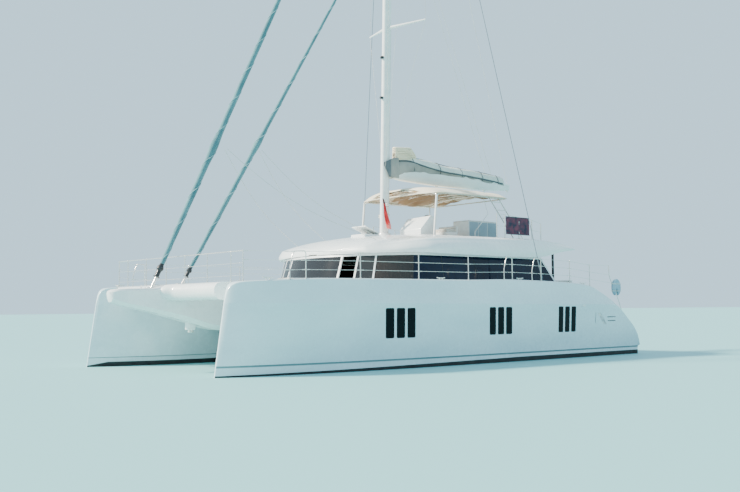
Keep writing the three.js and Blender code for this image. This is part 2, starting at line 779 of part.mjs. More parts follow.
// A soft roll lying along the boom.
function rollRing([x, low, top, half]) {
  const outline = [
    [0.7, 0],
    [1, 0.25],
    [0.9, 0.7],
    [0.45, 1],
  ];
  const port = outline.map(([y, t]) => [x, y * half, mix(low, top, t)]);
  const starboard = outline.map(([y, t]) => [x, -y * half, mix(low, top, t)]).reverse();
  return [...port, ...starboard];
}

// A sail rolled round its stay, with the wire's ends and the furler's drum at its foot.
function makeRolledStay({ foot, mastZ, roll, wire }) {
  const start = new THREE.Vector3(...foot);
  const end = new THREE.Vector3(mastX(mastZ) + MAST.long / 2 - 20, 0, mastZ);
  const at = (t) => start.clone().lerp(end, t).toArray();
  const parts = [
    rod(at(0), at(1), wire, 8),
    rod(at(FURLER.neck[1]), at(0.3), roll * 0.8, 10, roll),
    rod(at(0.299), at(0.62), roll, 10, roll * 0.85),
    rod(at(0.619), at(0.955), roll * 0.85, 10, roll * 0.4),
  ];
  return union(parts);
}

function makeFurler({ foot, mastZ, roll }) {
  const start = new THREE.Vector3(...foot);
  const end = new THREE.Vector3(mastX(mastZ) + MAST.long / 2, 0, mastZ);
  const at = (t) => start.clone().lerp(end, t).toArray();
  const part = ([from, to], start, end) => rod(at(from), at(to), roll * start, 14, roll * end);
  const { long, wide, z } = FURLER.pad;
  const pad = block([-long / 2, long / 2], [-wide / 2, wide / 2], z);
  return union([
    part(FURLER.base, 0.45, 0.45),
    part(FURLER.drum, 1.5, 1.5),
    part(FURLER.flange, 1.8, 1.8),
    part(FURLER.neck, 1.2, 0.7),
    moved(pad, ...foot),
  ]);
}

function makeShroud() {
  const start = new THREE.Vector3(...SHROUD.foot);
  const end = new THREE.Vector3(mastX(SHROUD.mastZ), MAST.wide / 2 - 60, SHROUD.mastZ);
  const at = (t) => start.clone().lerp(end, t).toArray();
  const wire = rod(at(-0.001), at(1), SHROUD.wire, 8);
  const turnbuckle = rod(at(0.004), at(0.028), SHROUD.turnbuckle, 8);
  return union([wire, turnbuckle]);
}

// Rails

function deckEdge(x) {
  const rows = HULL_SECTIONS;
  const i = rows.findIndex((row, k) => k > 0 && row[0] <= x);
  const [a, b] = [rows[i - 1], rows[i]];
  const t = (x - a[0]) / (b[0] - a[0]);
  return { y: HULL_Y + mix(a[4], b[4], t), z: mix(a[6], b[6], t) };
}

function makeSideRail(bowRail) {
  const posts = STANCHION_X.map((x) => {
    const edge = deckEdge(x);
    return { x, y: edge.y - RAIL.inset, z: edge.z };
  });
  const uprights = posts.map(({ x, y, z }) => rod([x, y, z - 40], [x, y, z + RAIL.tall], RAIL.post));
  const bowEnd = { x: BOW_RAIL.x, y: BOW_RAIL.posts.at(-1), z: BEAM.top + BOW_RAIL.tall - RAIL.tall };
  const ends = [bowEnd, ...posts];
  const lines = RAIL.levels.flatMap((level) =>
    ends.slice(1).map((p, i) => {
      const q = ends[i];
      const height = RAIL.tall * level - 10;
      return rod([q.x, q.y, q.z + height], [p.x, p.y, p.z + height], RAIL.line, 6);
    }),
  );
  return seatedOn(seatedOn(union([...uprights, ...lines]), hull), bowRail);
}

function makeBowRail() {
  const { x, posts, tall } = BOW_RAIL;
  const uprights = posts.map((y) => rod([x, y, BEAM.top - 40], [x, y, BEAM.top + tall], RAIL.post));
  const lines = BOW_RAIL.levels.map((level) => {
    const z = BEAM.top + tall * level - 10;
    const ends = posts[posts.length - 1];
    return rod([x, -ends, z], [x, ends, z], RAIL.line, 6);
  });
  const whole = union([...uprights, ...lines]);
  const carriers = [hull, mirrored(hull), crossbeam, mirrored(crossbeam), nacelle];
  return carriers.reduce((cut, below) => seatedOn(cut, below), whole);
}

function makeFlyRail() {
  const { posts, y, post, line, levels } = FLY_RAIL;
  const uprights = posts.map(([x, top]) => rod([x, y, FLY_FLOOR_Z], [x, y, top], post));
  const lines = levels.flatMap((down) => {
    const ends = posts.map(([x, top]) => [x, y, mix(top, FLY_FLOOR_Z, down) - 10]);
    return ends.slice(1).map((end, i) => rod(ends[i], end, line, 6));
  });
  return seatedOn(union([...uprights, ...lines]), roof);
}

// A plain panel hung on the flybridge's port rail.
function makeRailPanel(rail) {
  const { x, thick, z } = RAIL_PANEL;
  const y = FLY_RAIL.y + FLY_RAIL.post;
  return block(x, [y - thick, y + thick], z).subtract(grown(rail));
}

function makeRoofPost() {
  const { foot, head, radius } = ROOF_POST;
  const post = rod(foot, head, radius, 10);
  return largest(seatedOn(seatedOn(post, hull), roof));
}

// Appendages

function makeKeel() {
  const { x, chord, tipChord, thick, z, lean } = KEEL;
  return fin(x, chord, tipChord, thick, z - SEAT, BOTTOM_Z, lean);
}

function makeRudder() {
  const { x, chord, tipShare, thick, top, gap, bottom, balance, stock } = RUDDER;
  const centre = x - chord * (0.5 - balance);
  const blade = fin(centre, chord, chord * tipShare, thick, top - gap, bottom, -30);
  const post = rod([x, HULL_Y, top - 200], [x, HULL_Y, top], stock, 12);
  return union([blade, post]);
}

function makeLeg() {
  const { x, z, chord, thick, depth, pod } = LEG;
  const low = z - depth;
  const strut = fin(x, chord, chord * 0.9, thick, z - SEAT, low);
  const [fore, aft] = pod.map((reach) => [x + reach, HULL_Y, low]);
  const bullet = rod(fore, aft, PROPELLER.hub * 0.5, 14, PROPELLER.hub);
  return union([strut, bullet]);
}

function makePropeller() {
  const { hub, boss: length, radius, blades, thick, pitch, behind } = PROPELLER;
  const axis = [HULL_Y, LEG.z - LEG.depth];
  const face = LEG.x + LEG.pod[1] - SEAT;
  const boss = rod([face, ...axis], [face - length, ...axis], hub, 14, hub * 0.55);
  const fans = Array.from({ length: blades }, (_, i) => {
    const outline = [
      [-45, hub * 0.5],
      [-110, radius * 0.6],
      [-60, radius * 0.95],
      [20, radius],
      [90, radius * 0.75],
      [50, hub * 0.5],
    ];
    const blade = new THREE.ExtrudeGeometry(shapeOf(outline), { depth: thick, bevelEnabled: false });
    blade.translate(0, 0, -thick / 2).rotateY(THREE.MathUtils.degToRad(pitch));
    blade.rotateX((2 * Math.PI * i) / blades);
    return solid(blade.translate(face - behind, ...axis));
  });
  return union([boss, ...fans]);
}

// Cockpit, saloon and flybridge fittings

const DOORWAY = { y: [-1000, 150], z: [FLOOR_Z + 60, 3900] };
const AFT_WINDOWS = { y: [[270, 2880], [-2880, -1120]], z: [2780, 3900] };
const BULKHEAD_THICK = 60;
const DOOR_THICK = 38;
const DOOR_GAP = 8;
const DOOR_LAP = 40;
const DOOR_SILL = 40;
const DOOR_RAIL = 70;

function makeBulkhead() {
  const z0 = FLOOR_Z + SEAT;
  const x = [BULKHEAD_X, BULKHEAD_X + BULKHEAD_THICK];
  const breadth = CEILING.y - 10;
  const low = block(x, [-INNER_Y + SEAT, INNER_Y - SEAT], [z0, 3700]);
  const high = block(x, [-breadth, breadth], [2705, CEILING_Z - SEAT]);
  const through = [BULKHEAD_X - BULKHEAD_THICK, x[1] + 2 * DOOR_RAIL];
  const doorway = block(through, DOORWAY.y, DOORWAY.z);
  const windows = AFT_WINDOWS.y.map((y) => block(through, y, AFT_WINDOWS.z));
  const rail = block([x[1] - 1, x[1] + DOOR_RAIL], [DOORWAY.y[0] - 60, 1360], [z0, z0 + DOOR_SILL]);
  return union([low, high, rail]).subtract(union([doorway, ...windows]));
}

function makeDoor() {
  const [y0, y1] = DOORWAY.y;
  const z = [FLOOR_Z + DOOR_SILL + 2 * SEAT, DOORWAY.z[1] + DOOR_LAP];
  const face = BULKHEAD_X + BULKHEAD_THICK;
  return block([face + DOOR_GAP, face + DOOR_GAP + DOOR_THICK], [y0 - DOOR_LAP, y1 + DOOR_LAP], z);
}

function makeWheel() {
  const { at, radius, tube, spokes, spoke, hub, shaft } = WHEEL;
  const rim = new THREE.TorusGeometry(radius, tube, 8, 24).rotateY(Math.PI / 2);
  const arms = Array.from({ length: spokes }, (_, i) => {
    const angle = (Math.PI * 2 * i) / spokes + Math.PI / 2;
    return rod([0, 0, 0], [0, radius * Math.cos(angle), radius * Math.sin(angle)], spoke, 8);
  });
  const boss = rod([hub.half, 0, 0], [-hub.half, 0, 0], hub.radius, 12);
  const stub = rod([CONSOLE.back - SEAT - at[0], 0, 0], [0, 0, 0], shaft, 12);
  return moved(union([solid(rim), ...arms, boss, stub]), ...at);
}

function makeConsole() {
  const { y, foot, head, back, top, ledge, ease } = CONSOLE;
  const z = FLY_FLOOR_Z + SEAT;
  const outline = [
    [back, z],
    [back, top - ease[1]],
    [head - ease[0], top],
    [head, top],
    [foot, ledge],
    [foot, z],
  ];
  return sideSlab(outline, ...y);
}

function makeCanopy() {
  const ring = ([x, half, edge, crown], lower) => {
    const side = [
      [half, edge],
      [0.94 * half, mix(edge, crown, 0.3)],
      [0.75 * half, mix(edge, crown, 0.7)],
    ];
    const port = side.map(([y, z]) => [x, y, z - lower]);
    const starboard = side.map(([y, z]) => [x, -y, z - lower]).reverse();
    return [...port, [x, 0, crown - lower], ...starboard];
  };
  const rings = CANOPY_SECTIONS.map((row) => {
    const top = ring(row, 0);
    const under = ring(row, CANOPY_DEEP).reverse();
    return [...top, ...under];
  });
  return loft(rings, [1, 2]);
}

// Where a ladder's rail passes a height.
function railAt(rail, z) {
  const i = Math.max(1, rail.findIndex((point) => point[1] >= z));
  const [low, high] = [rail[i - 1], rail[i]];
  return mix(low[0], high[0], (z - low[1]) / (high[1] - low[1]));
}

function makeLadder() {
  const { y, fore, aft, rail, rung, rungZ } = LADDER;
  const rails = [fore, aft].map((points) => bentRod(points.map(([x, z]) => [x, y, z]), rail));
  const rungs = rungZ.map((z) => rod([railAt(fore, z), y, z], [railAt(aft, z), y, z], rung));
  return union([...rails, ...rungs]);
}

function makeCanopyFrame(canopy) {
  const { y, rims, rim, hoopRows, hoop, hoopGap, leg, legFootX } = CANOPY_FRAME;
  const [front, back] = [rims[0], rims.at(-1)];
  const sides = [y, -y].flatMap((at) => [
    bentRod(rims.map(([x, z]) => [x, at, z]), rim),
    rod([legFootX, at, FLY_FLOOR_Z], [front[0], at, front[1]], leg),
  ]);
  const aftPost = rod([back[0], -y, FLY_FLOOR_Z], [back[0], -y, back[1]], rim);
  const hoops = hoopRows.map((row) => {
    const [, half, edge, crown] = CANOPY_SECTIONS[row];
    const [x, z] = rims[row - 1];
    const under = CANOPY_DEEP + hoop + hoopGap;
    const [bendY, bendZ] = [0.7 * half, mix(edge, crown, 0.7) - under];
    const port = [[x, y, z], [x, bendY, bendZ]];
    return bentRod([...port, [x, 0, crown - under], [x, -bendY, bendZ], [x, -y, z]], hoop);
  });
  const whole = union([...sides, aftPost, makeLadder(), ...hoops]);
  return seatedOn(whole, roof).subtract(grown(canopy));
}

// A box-shaped seat with a back along its aft side.
function makeSeat({ x, y, floor, seat, back, deep }) {
  const base = block(x, y, [floor + SEAT, floor + seat]);
  const rest = block([x[0], x[0] + deep], y, [floor + seat - 1, floor + back]);
  return union([base, rest]);
}

function makeTable() {
  const { x, y, z, leg } = TABLE;
  const [cx, cy] = [(x[0] + x[1]) / 2, (y[0] + y[1]) / 2];
  const post = block([cx - leg, cx + leg], [cy - leg, cy + leg], [FLOOR_Z + SEAT, z[0] + 1]);
  return union([block(x, y, z), post]);
}

// Assembly

add("hull_port", hull, FINISH.gelcoat);
add("hull_starboard", mirrored(hull), FINISH.gelcoat);
const bowRail = makeBowRail();
const flyRail = makeFlyRail();
const twins = [
  ["keel", makeKeel(), FINISH.black],
  ["rudder", makeRudder(), FINISH.black],
  ["drive_leg", makeLeg(), FINISH.bronze],
  ["propeller", makePropeller(), FINISH.bronze],
  ["front_crossbeam", crossbeam, FINISH.gelcoat],
  ["bow_net", makeNet(), FINISH.black],
  ["guard_rail", makeSideRail(bowRail), FINISH.steel],
  ["roof_post", makeRoofPost(), FINISH.black],
  ["fly_rail", flyRail, FINISH.steel],
];
for (const [name, shape, finish] of twins) {
  add(name + "_port", shape, finish);
  add(name + "_starboard", mirrored(shape), finish);
}
add("bridgedeck", bridgedeck, FINISH.gelcoat);
add("centre_nacelle", nacelle, FINISH.gelcoat);
add("bow_rail", bowRail, FINISH.steel);
add("rail_panel", makeRailPanel(flyRail), FINISH.black);

const frame = makeSaloonFrame();
add("saloon_frame", frame, FINISH.gelcoat);
const [inner, outer, corner] = MULLION_Y.map(mullionAngle);
const PANES = [
  ["windscreen_centre", angles(-inner, inner)],
  ["windscreen_port", angles(outer, corner)],
  ["windscreen_starboard_inner", angles(-outer, -inner)],
  ["windscreen_starboard_outer", angles(-corner, -outer)],
];
for (const [name, stations] of PANES) add(name, makePane(stations, frame), FINISH.glass);
for (const [name, side] of [["port", 1], ["starboard", -1]]) {
  const front = angles(corner, FRONT_HALF_ANGLE).map(({ angle }) => ({ angle: angle * side }));
  const stations = [...front, ...sideStations(side, 0, 0.99)];
  add("side_glass_" + name, makePane(stations, frame), FINISH.glass);
}
add("aft_bulkhead", makeBulkhead(), FINISH.gelcoat);
add("saloon_door", makeDoor(), FINISH.glass);
add("roof", roof, FINISH.gelcoat);

const mast = makeMast();
add("mast", mast, FINISH.spar);
const boom = makeBoom();
const bag = largest(loft(BAG_SECTIONS.map(rollRing)).subtract(grown(boom)));
const stack = largest(loft(SAIL_SECTIONS.map(rollRing)).subtract(grown(bag)));
add("boom", boom, FINISH.spar);
add("sail_bag", bag, FINISH.bag);
add("mainsail_stack", stack, FINISH.sail);

for (const [name, stay] of [["genoa", FORESTAY], ["staysail", INNER_STAY]]) {
  const furler = seatedOn(seatedOn(makeFurler(stay), nacelle), crossbeam.add(mirrored(crossbeam)));
  add(name + "_furler", furler, FINISH.black);
  const roll = largest(makeRolledStay(stay).subtract(grown(furler)).subtract(grown(mast)));
  add("rolled_" + name, roll, FINISH.teal);
}
const shroud = largest(seatedOn(makeShroud(), hull).subtract(grown(mast)));
add("shroud_port", shroud, FINISH.steel);
add("shroud_starboard", mirrored(shroud), FINISH.steel);

const canopy = makeCanopy();
add("canopy", canopy, FINISH.canvas);
add("canopy_frame", makeCanopyFrame(canopy), FINISH.steel);
add("helm_console", makeConsole(), FINISH.gelcoat);
add("steering_wheel", makeWheel(), FINISH.black);
for (const [name, size] of Object.entries(SEATS)) add(name, makeSeat(size), FINISH.cushion);
add("fly_bar", block(FLY_BAR.x, FLY_BAR.y, [FLY_FLOOR_Z + SEAT, FLY_BAR.top]), FINISH.gelcoat);
add("cockpit_table", makeTable(), FINISH.wood);
add("galley_counter", block(COUNTER.x, COUNTER.y, [FLOOR_Z + SEAT, COUNTER.top]), FINISH.wood);
add("roof_hatch", makeHatchLid(), FINISH.gelcoat);

export default boat;
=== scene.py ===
"""Sailing catamaran, 18.3 m long and afloat: its looks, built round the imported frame.

Lengths are metres. +X is forward, +Y is port and +Z is up, and the origin is amidships on the waterline.
"""

import logging
import math
from dataclasses import dataclass, field
from enum import Enum
from math import cos, pi, radians, sin
from typing import Iterable, Optional, Sequence

import bmesh
import bpy
import numpy as np
from mathutils import Matrix, Vector, noise


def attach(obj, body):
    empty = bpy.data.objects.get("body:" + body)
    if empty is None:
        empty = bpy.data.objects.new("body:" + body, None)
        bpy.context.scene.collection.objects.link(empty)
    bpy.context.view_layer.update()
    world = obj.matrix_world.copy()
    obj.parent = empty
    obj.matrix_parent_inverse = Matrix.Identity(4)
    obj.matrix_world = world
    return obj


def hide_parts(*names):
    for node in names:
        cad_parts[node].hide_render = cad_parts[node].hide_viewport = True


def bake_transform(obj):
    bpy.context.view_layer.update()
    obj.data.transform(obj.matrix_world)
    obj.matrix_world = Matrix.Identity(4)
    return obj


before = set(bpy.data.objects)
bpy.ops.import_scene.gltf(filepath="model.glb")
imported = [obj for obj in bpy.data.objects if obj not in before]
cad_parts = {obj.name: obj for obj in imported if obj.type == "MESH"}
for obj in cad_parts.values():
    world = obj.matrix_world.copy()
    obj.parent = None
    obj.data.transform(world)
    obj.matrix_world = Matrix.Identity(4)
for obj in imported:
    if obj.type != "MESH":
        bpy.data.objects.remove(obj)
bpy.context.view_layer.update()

log = logging.getLogger("catamaran")

Point = Sequence[float]
Pair = tuple[float, float]
Triple = tuple[float, float, float]
Quad = tuple[float, float, float, float]
Rows = tuple[tuple[float, ...], ...]
Outline = list[Pair]
Piece = bpy.types.Object
Socket = bpy.types.NodeSocket

BOAT = "boat"
BOOM_BODY = "boom_and_sail"
SIDES = (("port", 1.0), ("starboard", -1.0))
UP = Vector((0, 0, 1))


# Finishes


class Pattern(Enum):
    """What a finish's surface detail is, by the name of the method that paints it."""

    SHELL = "shell"
    METAL = "metal"
    WEAVE = "weave"
    NONSKID = "nonskid"
    PLANKS = "planks"
    GLASS = "glass"
    NETTING = "netting"
    MATT = "matt"


@dataclass(frozen=True)
class Finish:
    """One surface's look: two sRGB tones that vary over it, its gloss and the scale of its detail."""

    name: str
    tone: tuple[int, int, int]
    second: tuple[int, int, int]
    roughness: float = 0.4
    pattern: Pattern = Pattern.SHELL
    metallic: float = 0.0
    coat: float = 0.0
    sheen: float = 0.0
    detail: float = 1.0
    patches: float = 1.6
    specular: float = 0.5
    clear: float = 0.0


@dataclass(frozen=True)
class Cloth(Finish):
    """A woven surface's look."""

    roughness: float = 0.85
    pattern: Pattern = Pattern.WEAVE
    sheen: float = 0.2
    detail: float = 60.0


GELCOAT = Finish("gelcoat_white", (242, 244, 242), (232, 237, 237), 0.28, coat=0.4, detail=0.7)
# White topside gelcoat tinted aqua: the tint is a painted reflection of the sea on the hulls' sides.
TOPSIDE_WATER_REFLECTION = Finish("gelcoat_topside_painted_water_reflection", (218, 237, 241), (206, 228, 233), 0.26, coat=0.5, detail=0.5)
# Darker grey-teal strip at the chine: painted shadow under the ledge and painted reflection of dark water.
CHINE_SHADE = Finish("painted_chine_shadow", (126, 156, 160), (110, 142, 148), 0.4, detail=0.8)
GRILLE = Finish("vent_grille", (236, 240, 236), (172, 186, 188), 0.7, Pattern.MATT, detail=9.0)
WIRE = Finish("rigging_wire", (112, 126, 134), (92, 106, 114), 0.4, Pattern.METAL, metallic=0.3, detail=30.0)
PAD_BLUE = Cloth("pale_blue_cover", (158, 192, 206), (136, 172, 190))
# Blue-grey door panels: partly their own pale tone, partly painted shade of the bar's side.
BAR_PANEL_SHADED = Finish("bar_panel_grey_painted_shade", (150, 178, 190), (136, 164, 178), 0.4, detail=1.2)
ANTIFOULING = Finish("antifouling_black", (26, 30, 33), (38, 44, 44), 0.75, Pattern.MATT, detail=3.0)
DECK_GRIP = Finish("deck_grip_grey", (206, 210, 209), (192, 198, 198), 0.75, Pattern.NONSKID, detail=160.0)
TEAK = Finish("teak_planks", (166, 124, 84), (142, 103, 67), 0.62, Pattern.PLANKS, detail=0.055)
OAK = Finish("pale_joinery", (176, 148, 114), (160, 132, 98), 0.45, Pattern.PLANKS, detail=0.3)
DARK_GLASS = Finish("tinted_glass", (10, 22, 42), (16, 32, 54), 0.05, Pattern.GLASS, specular=0.2, clear=0.1)
CLEAR_GLASS = Finish("clearer_glass", (66, 58, 56), (86, 76, 70), 0.05, Pattern.GLASS, specular=0.15, clear=0.6)
FRONT_GLASS = Finish("front_glass", (44, 46, 50), (60, 60, 60), 0.05, Pattern.GLASS, specular=0.25, clear=0.25)
HULL_GLASS = Finish("hull_window_glass", (2, 8, 15), (4, 13, 21), 0.1, Pattern.GLASS, specular=0.08)
SEAL = Finish("black_seal", (22, 24, 26), (34, 36, 38), 0.6, Pattern.MATT, detail=12.0)
BLACK_TRIM = Finish("black_trim", (30, 32, 35), (44, 46, 49), 0.45, Pattern.MATT, coat=0.1, detail=8.0)
SCREEN = Finish("instrument_screen", (14, 18, 22), (22, 28, 34), 0.08, Pattern.GLASS, coat=0.5)
STAINLESS = Finish(
    "polished_stainless", (240, 236, 228), (220, 216, 210), 0.24, Pattern.METAL, metallic=0.75, detail=30.0
)
BRONZE = Finish("propeller_bronze", (170, 138, 80), (120, 104, 70), 0.32, Pattern.METAL, metallic=1.0, detail=14.0)
SPAR = Finish("spar_white", (243, 243, 240), (233, 234, 232), 0.33, coat=0.3, detail=1.5)
TEAL_CLOTH = Cloth("teal_sun_strip", (70, 118, 126), (96, 144, 150))
PALE_TEAL = Cloth("teal_strip_edge", (150, 188, 192), (128, 170, 176))
COLLAR_CLOTH = Cloth("collar_canvas", (118, 124, 126), (88, 96, 102), 0.88, detail=50.0)
BAG_CLOTH = Cloth("bag_canvas", (168, 164, 156), (138, 136, 132), 0.885, detail=50.0)
# Paler canvas on the bag's top: painted sunlight.
BAG_SUNLIT_TOP = Cloth("bag_canvas_painted_sunlit_top", (226, 230, 220), (204, 210, 202), 0.885, detail=50.0)
FLAG_TOP = Cloth("flag_top_cloth", (104, 26, 30), (82, 20, 24), sheen=0.1, detail=80.0)
FLAG_END = Cloth("flag_end_cloth", (232, 140, 134), (220, 108, 106), 0.8, detail=80.0)
# Cream sailcloth, brightened and warmed: the extra brightness is painted sunlight through the cloth.
SUNLIT_SAILCLOTH = Cloth("sailcloth_cream_painted_sunlight", (254, 240, 214), (246, 228, 198), 0.7, sheen=0.15, detail=70.0)
CANVAS = Cloth("canopy_canvas", (238, 230, 212), (222, 210, 186), 0.855, detail=50.0)
# Brown for the lining's deepest folds: painted shade in the folds.
FOLD_SHADE_CLOTH = Cloth("canopy_painted_fold_shade", (176, 146, 112), (150, 122, 92), 0.9, detail=50.0)
UPHOLSTERY = Cloth("seat_fabric", (232, 230, 224), (218, 215, 208), 0.9, sheen=0.3, detail=45.0)
CURTAIN = Cloth("curtain_cloth", (206, 192, 172), (172, 158, 140), 0.95, detail=70.0)
RED_CLOTH = Cloth("red_flag_cloth", (226, 58, 60), (170, 24, 36), 0.8, detail=80.0, patches=4.0)
DARK_CLOTH = Cloth("dark_panel_cloth", (30, 40, 60), (124, 60, 78), 0.8, sheen=0.0, patches=4.5)
WEBBING = Cloth("grey_webbing", (84, 94, 100), (64, 74, 80), 0.8, sheen=0.1, detail=90.0)
ROPE = Cloth("white_rope", (222, 222, 214), (186, 188, 184), 0.8, sheen=0.1, detail=150.0)
NET = Finish("bow_netting", (40, 44, 46), (62, 66, 68), 0.7, Pattern.NETTING, detail=22.0)


def linear(tone: Iterable[int]) -> Quad:
    """Turns an sRGB tone from 0 to 255 into a linear colour with full alpha."""
    parts = [value / 255 for value in tone]
    red, green, blue = [p / 12.92 if p <= 0.04045 else ((p + 0.055) / 1.055) ** 2.4 for p in parts]
    return (red, green, blue, 1.0)


class Paintshop:
    """Makes each finish's material once, from nodes that read Object coordinates."""

    made: dict[str, "Paintshop"] = {}

    def __init__(self, finish: Finish) -> None:
        """Starts a material for the finish, with the finish's even values."""
        self.finish = finish
        self.material = bpy.data.materials.new(finish.name)
        self.material.use_nodes = True
        self.tree = self.material.node_tree
        self.shader = self.tree.nodes["Principled BSDF"].inputs
        self.place = self.tree.nodes.new("ShaderNodeTexCoord").outputs["Object"]
        even_values = {
            "Base Color": linear(finish.tone), "Roughness": finish.roughness, "Metallic": finish.metallic,
            "Specular IOR Level": finish.specular, "Coat Weight": finish.coat, "Coat Roughness": 0.06,
            "Sheen Weight": finish.sheen,
        }
        for name, value in even_values.items():
            self.shader[name].default_value = value

    @classmethod
    def material_for(cls, finish: Finish) -> bpy.types.Material:
        """Gives the finish's material, made at the first call."""
        if finish.name not in cls.made:
            shop = cls.made[finish.name] = cls(finish)
            getattr(shop, finish.pattern.value)()
        return cls.made[finish.name].material

    def node(self, kind: str, values: dict[object, object], **settings: str) -> bpy.types.ShaderNode:
        """Adds a node.

        Args:
            kind: Its type's name after ShaderNode.
            values: What its inputs are set to, or the sockets that feed them.
            settings: Its options.

        Returns:
            The node.
        """
        made = self.tree.nodes.new("ShaderNode" + kind)
        for name, choice in settings.items():
            setattr(made, name, choice)
        for key, value in values.items():
            if isinstance(value, Socket):
                self.tree.links.new(value, made.inputs[key])
            else:
                made.inputs[key].default_value = value
        return made

    def feed(self, output: Socket, name: str) -> None:
        """Joins a socket to one of the shader's inputs."""
        self.tree.links.new(output, self.shader[name])

    def cloud(self, scale: float, detail: float = 3.0, stretch: Point = (1, 1, 1)) -> Socket:
        """Gives soft noise.

        Args:
            scale: Features per metre.
            detail: How many finer layers it has.
            stretch: Factors on X, Y and Z.

        Returns:
            The noise's factor.
        """
        mapped = self.node("Mapping", {"Vector": self.place, "Scale": stretch}).outputs["Vector"]
        return self.node("TexNoise", {"Vector": mapped, "Scale": scale, "Detail": detail}).outputs["Fac"]

    def ranged(self, source: Socket, low: float, high: float) -> Socket:
        """Maps the middle of a factor's range to low..high."""
        span = {"Value": source, "From Min": 0.35, "From Max": 0.65, "To Min": low, "To Max": high}
        return self.node("MapRange", span).outputs["Result"]

    def math(self, operation: str, first: Socket, second: object) -> Socket:
        """Works a sum on a socket and a number or another socket."""
        return self.node("Math", {0: first, 1: second}, operation=operation).outputs["Value"]

    def tint(self, factor: Socket) -> None:
        """Blends the finish's two tones into the base colour, by the middle of a factor's range."""
        tones = {0: self.ranged(factor, 0, 1.0), 6: linear(self.finish.tone), 7: linear(self.finish.second)}
        self.feed(self.node("Mix", tones, data_type="RGBA").outputs[2], "Base Color")

    def relief(self, height: Socket, distance: float, strength: float = 1.0) -> None:
        """Raises the surface by a height map."""
        bump = self.node("Bump", {"Height": height, "Distance": distance, "Strength": strength})
        self.feed(bump.outputs["Normal"], "Normal")

    def gloss(self, factor: Socket, spread: float) -> None:
        """Varies the roughness by a factor round the finish's own."""
        low = max(0.02, self.finish.roughness - spread)
        self.feed(self.ranged(factor, low, self.finish.roughness + spread), "Roughness")

    def band(self, direction: str) -> Socket:
        """Gives parallel threads along an axis."""
        threads = {"Vector": self.place, "Scale": self.finish.detail, "Distortion": 0.4}
        return self.node("TexWave", threads, bands_direction=direction).outputs["Fac"]

    def shell(self) -> None:
        """Glossy moulded shell or paint, faintly uneven and faintly soiled."""
        self.tint(self.cloud(self.finish.detail, 4.0, (1, 1, 2.5)))
        self.gloss(self.cloud(5.0), 0.06)
        self.relief(self.cloud(1.1, 1.0), 0.004, 0.35)

    def metal(self) -> None:
        """Polished or cast metal with fine rubbing marks."""
        self.tint(self.cloud(self.finish.detail, 5.0, (1, 1, 0.2)))
        self.gloss(self.cloud(self.finish.detail * 4, 2.0, (1, 1, 0.1)), 0.07)

    def weave(self) -> None:
        """Woven cloth with threads both ways, fading and soft creases."""
        threads = self.math("ADD", self.math("ADD", self.band("X"), self.band("Z")), self.band("Y"))
        creases = self.math("MULTIPLY", self.cloud(2.2, 5.0), 14.0)
        self.tint(self.cloud(self.finish.patches, 6.0))
        self.gloss(self.cloud(9.0), 0.05)
        self.relief(self.math("ADD", threads, creases), 0.0012, 0.7)

    def nonskid(self) -> None:
        """Moulded grip pattern of small raised grains."""
        grains = self.node("TexVoronoi", {"Vector": self.place, "Scale": self.finish.detail})
        self.tint(self.cloud(1.3, 5.0))
        self.relief(grains.outputs["Distance"], 0.0015, 0.8)

    def planks(self) -> None:
        """Boards along X with dark joints and grain."""
        joints = {"Vector": self.place, "Scale": 1.0, "Brick Width": 2.4, "Row Height": self.finish.detail}
        tones = {"Color1": self.finish.tone, "Color2": self.finish.second, "Mortar": (34, 30, 28)}
        colours = {name: linear(tone) for name, tone in tones.items()}
        boards = self.node("TexBrick", {**joints, "Mortar Size": 0.0025, **colours})
        boards.offset = 0.37
        self.feed(boards.outputs["Color"], "Base Color")
        grain = self.cloud(40.0, 6.0, (0.06, 1, 1))
        self.gloss(grain, 0.1)
        self.relief(grain, 0.0006, 0.6)

    def glass(self) -> None:
        """Tinted glazing, a little uneven in depth."""
        self.tint(self.cloud(0.5, 2.0))
        self.gloss(self.cloud(1.4), 0.015)
        self.shader["IOR"].default_value = 1.5
        self.shader["Transmission Weight"].default_value = self.finish.clear

    def netting(self) -> None:
        """A square net of cords, clear between them."""
        split = self.node("SeparateXYZ", {"Vector": self.place}).outputs
        counts = [self.math("MULTIPLY", split[axis], self.finish.detail) for axis in ("X", "Y")]
        strands = [self.math("LESS_THAN", self.math("FRACT", count, 0), 0.24) for count in counts]
        self.feed(self.math("MAXIMUM", *strands), "Alpha")
        self.tint(self.cloud(12.0))

    def matt(self) -> None:
        """Dull paint, rubber or plastic, worn unevenly."""
        self.tint(self.cloud(self.finish.detail, 6.0))
        self.gloss(self.cloud(self.finish.detail * 2), 0.08)
        self.relief(self.cloud(60.0, 3.0), 0.0008, 0.4)


# Shapes


def mix(a: float, b: float, t: float) -> float:
    """Gives the value at share t of the way from a to b."""
    return a + (b - a) * t


def even(a: float, b: float, count: int) -> list[float]:
    """Lists the values that part a to b in count equal steps, ends included."""
    return [mix(a, b, k / count) for k in range(count + 1)]


def angles(count: int) -> list[float]:
    """Lists the angles of count equal steps round a circle."""
    return [2 * pi * k / count for k in range(count)]


def flipped(points: Sequence[Point]) -> list[Point]:
    """Gives points mirrored across the centreline, in reverse."""
    return [(x, -y, z) for x, y, z in reversed(points)]


def rounded(width: float, height: float, radius: float, steps: int = 6) -> Outline:
    """Gives a rectangle with round corners, centred on zero.

    Args:
        width: Its size along the first axis.
        height: Its size along the second axis.
        radius: The corners' radius.
        steps: Pieces of each corner's arc.

    Returns:
        The outline's points, anticlockwise.
    """
    points = []
    for across, up, start in ((1, 1, 0), (-1, 1, 90), (-1, -1, 180), (1, -1, 270)):
        u, v = across * (width / 2 - radius), up * (height / 2 - radius)
        for step in range(steps + 1):
            angle = radians(start + 90 * step / steps)
            points.append((u + radius * cos(angle), v + radius * sin(angle)))
    return points


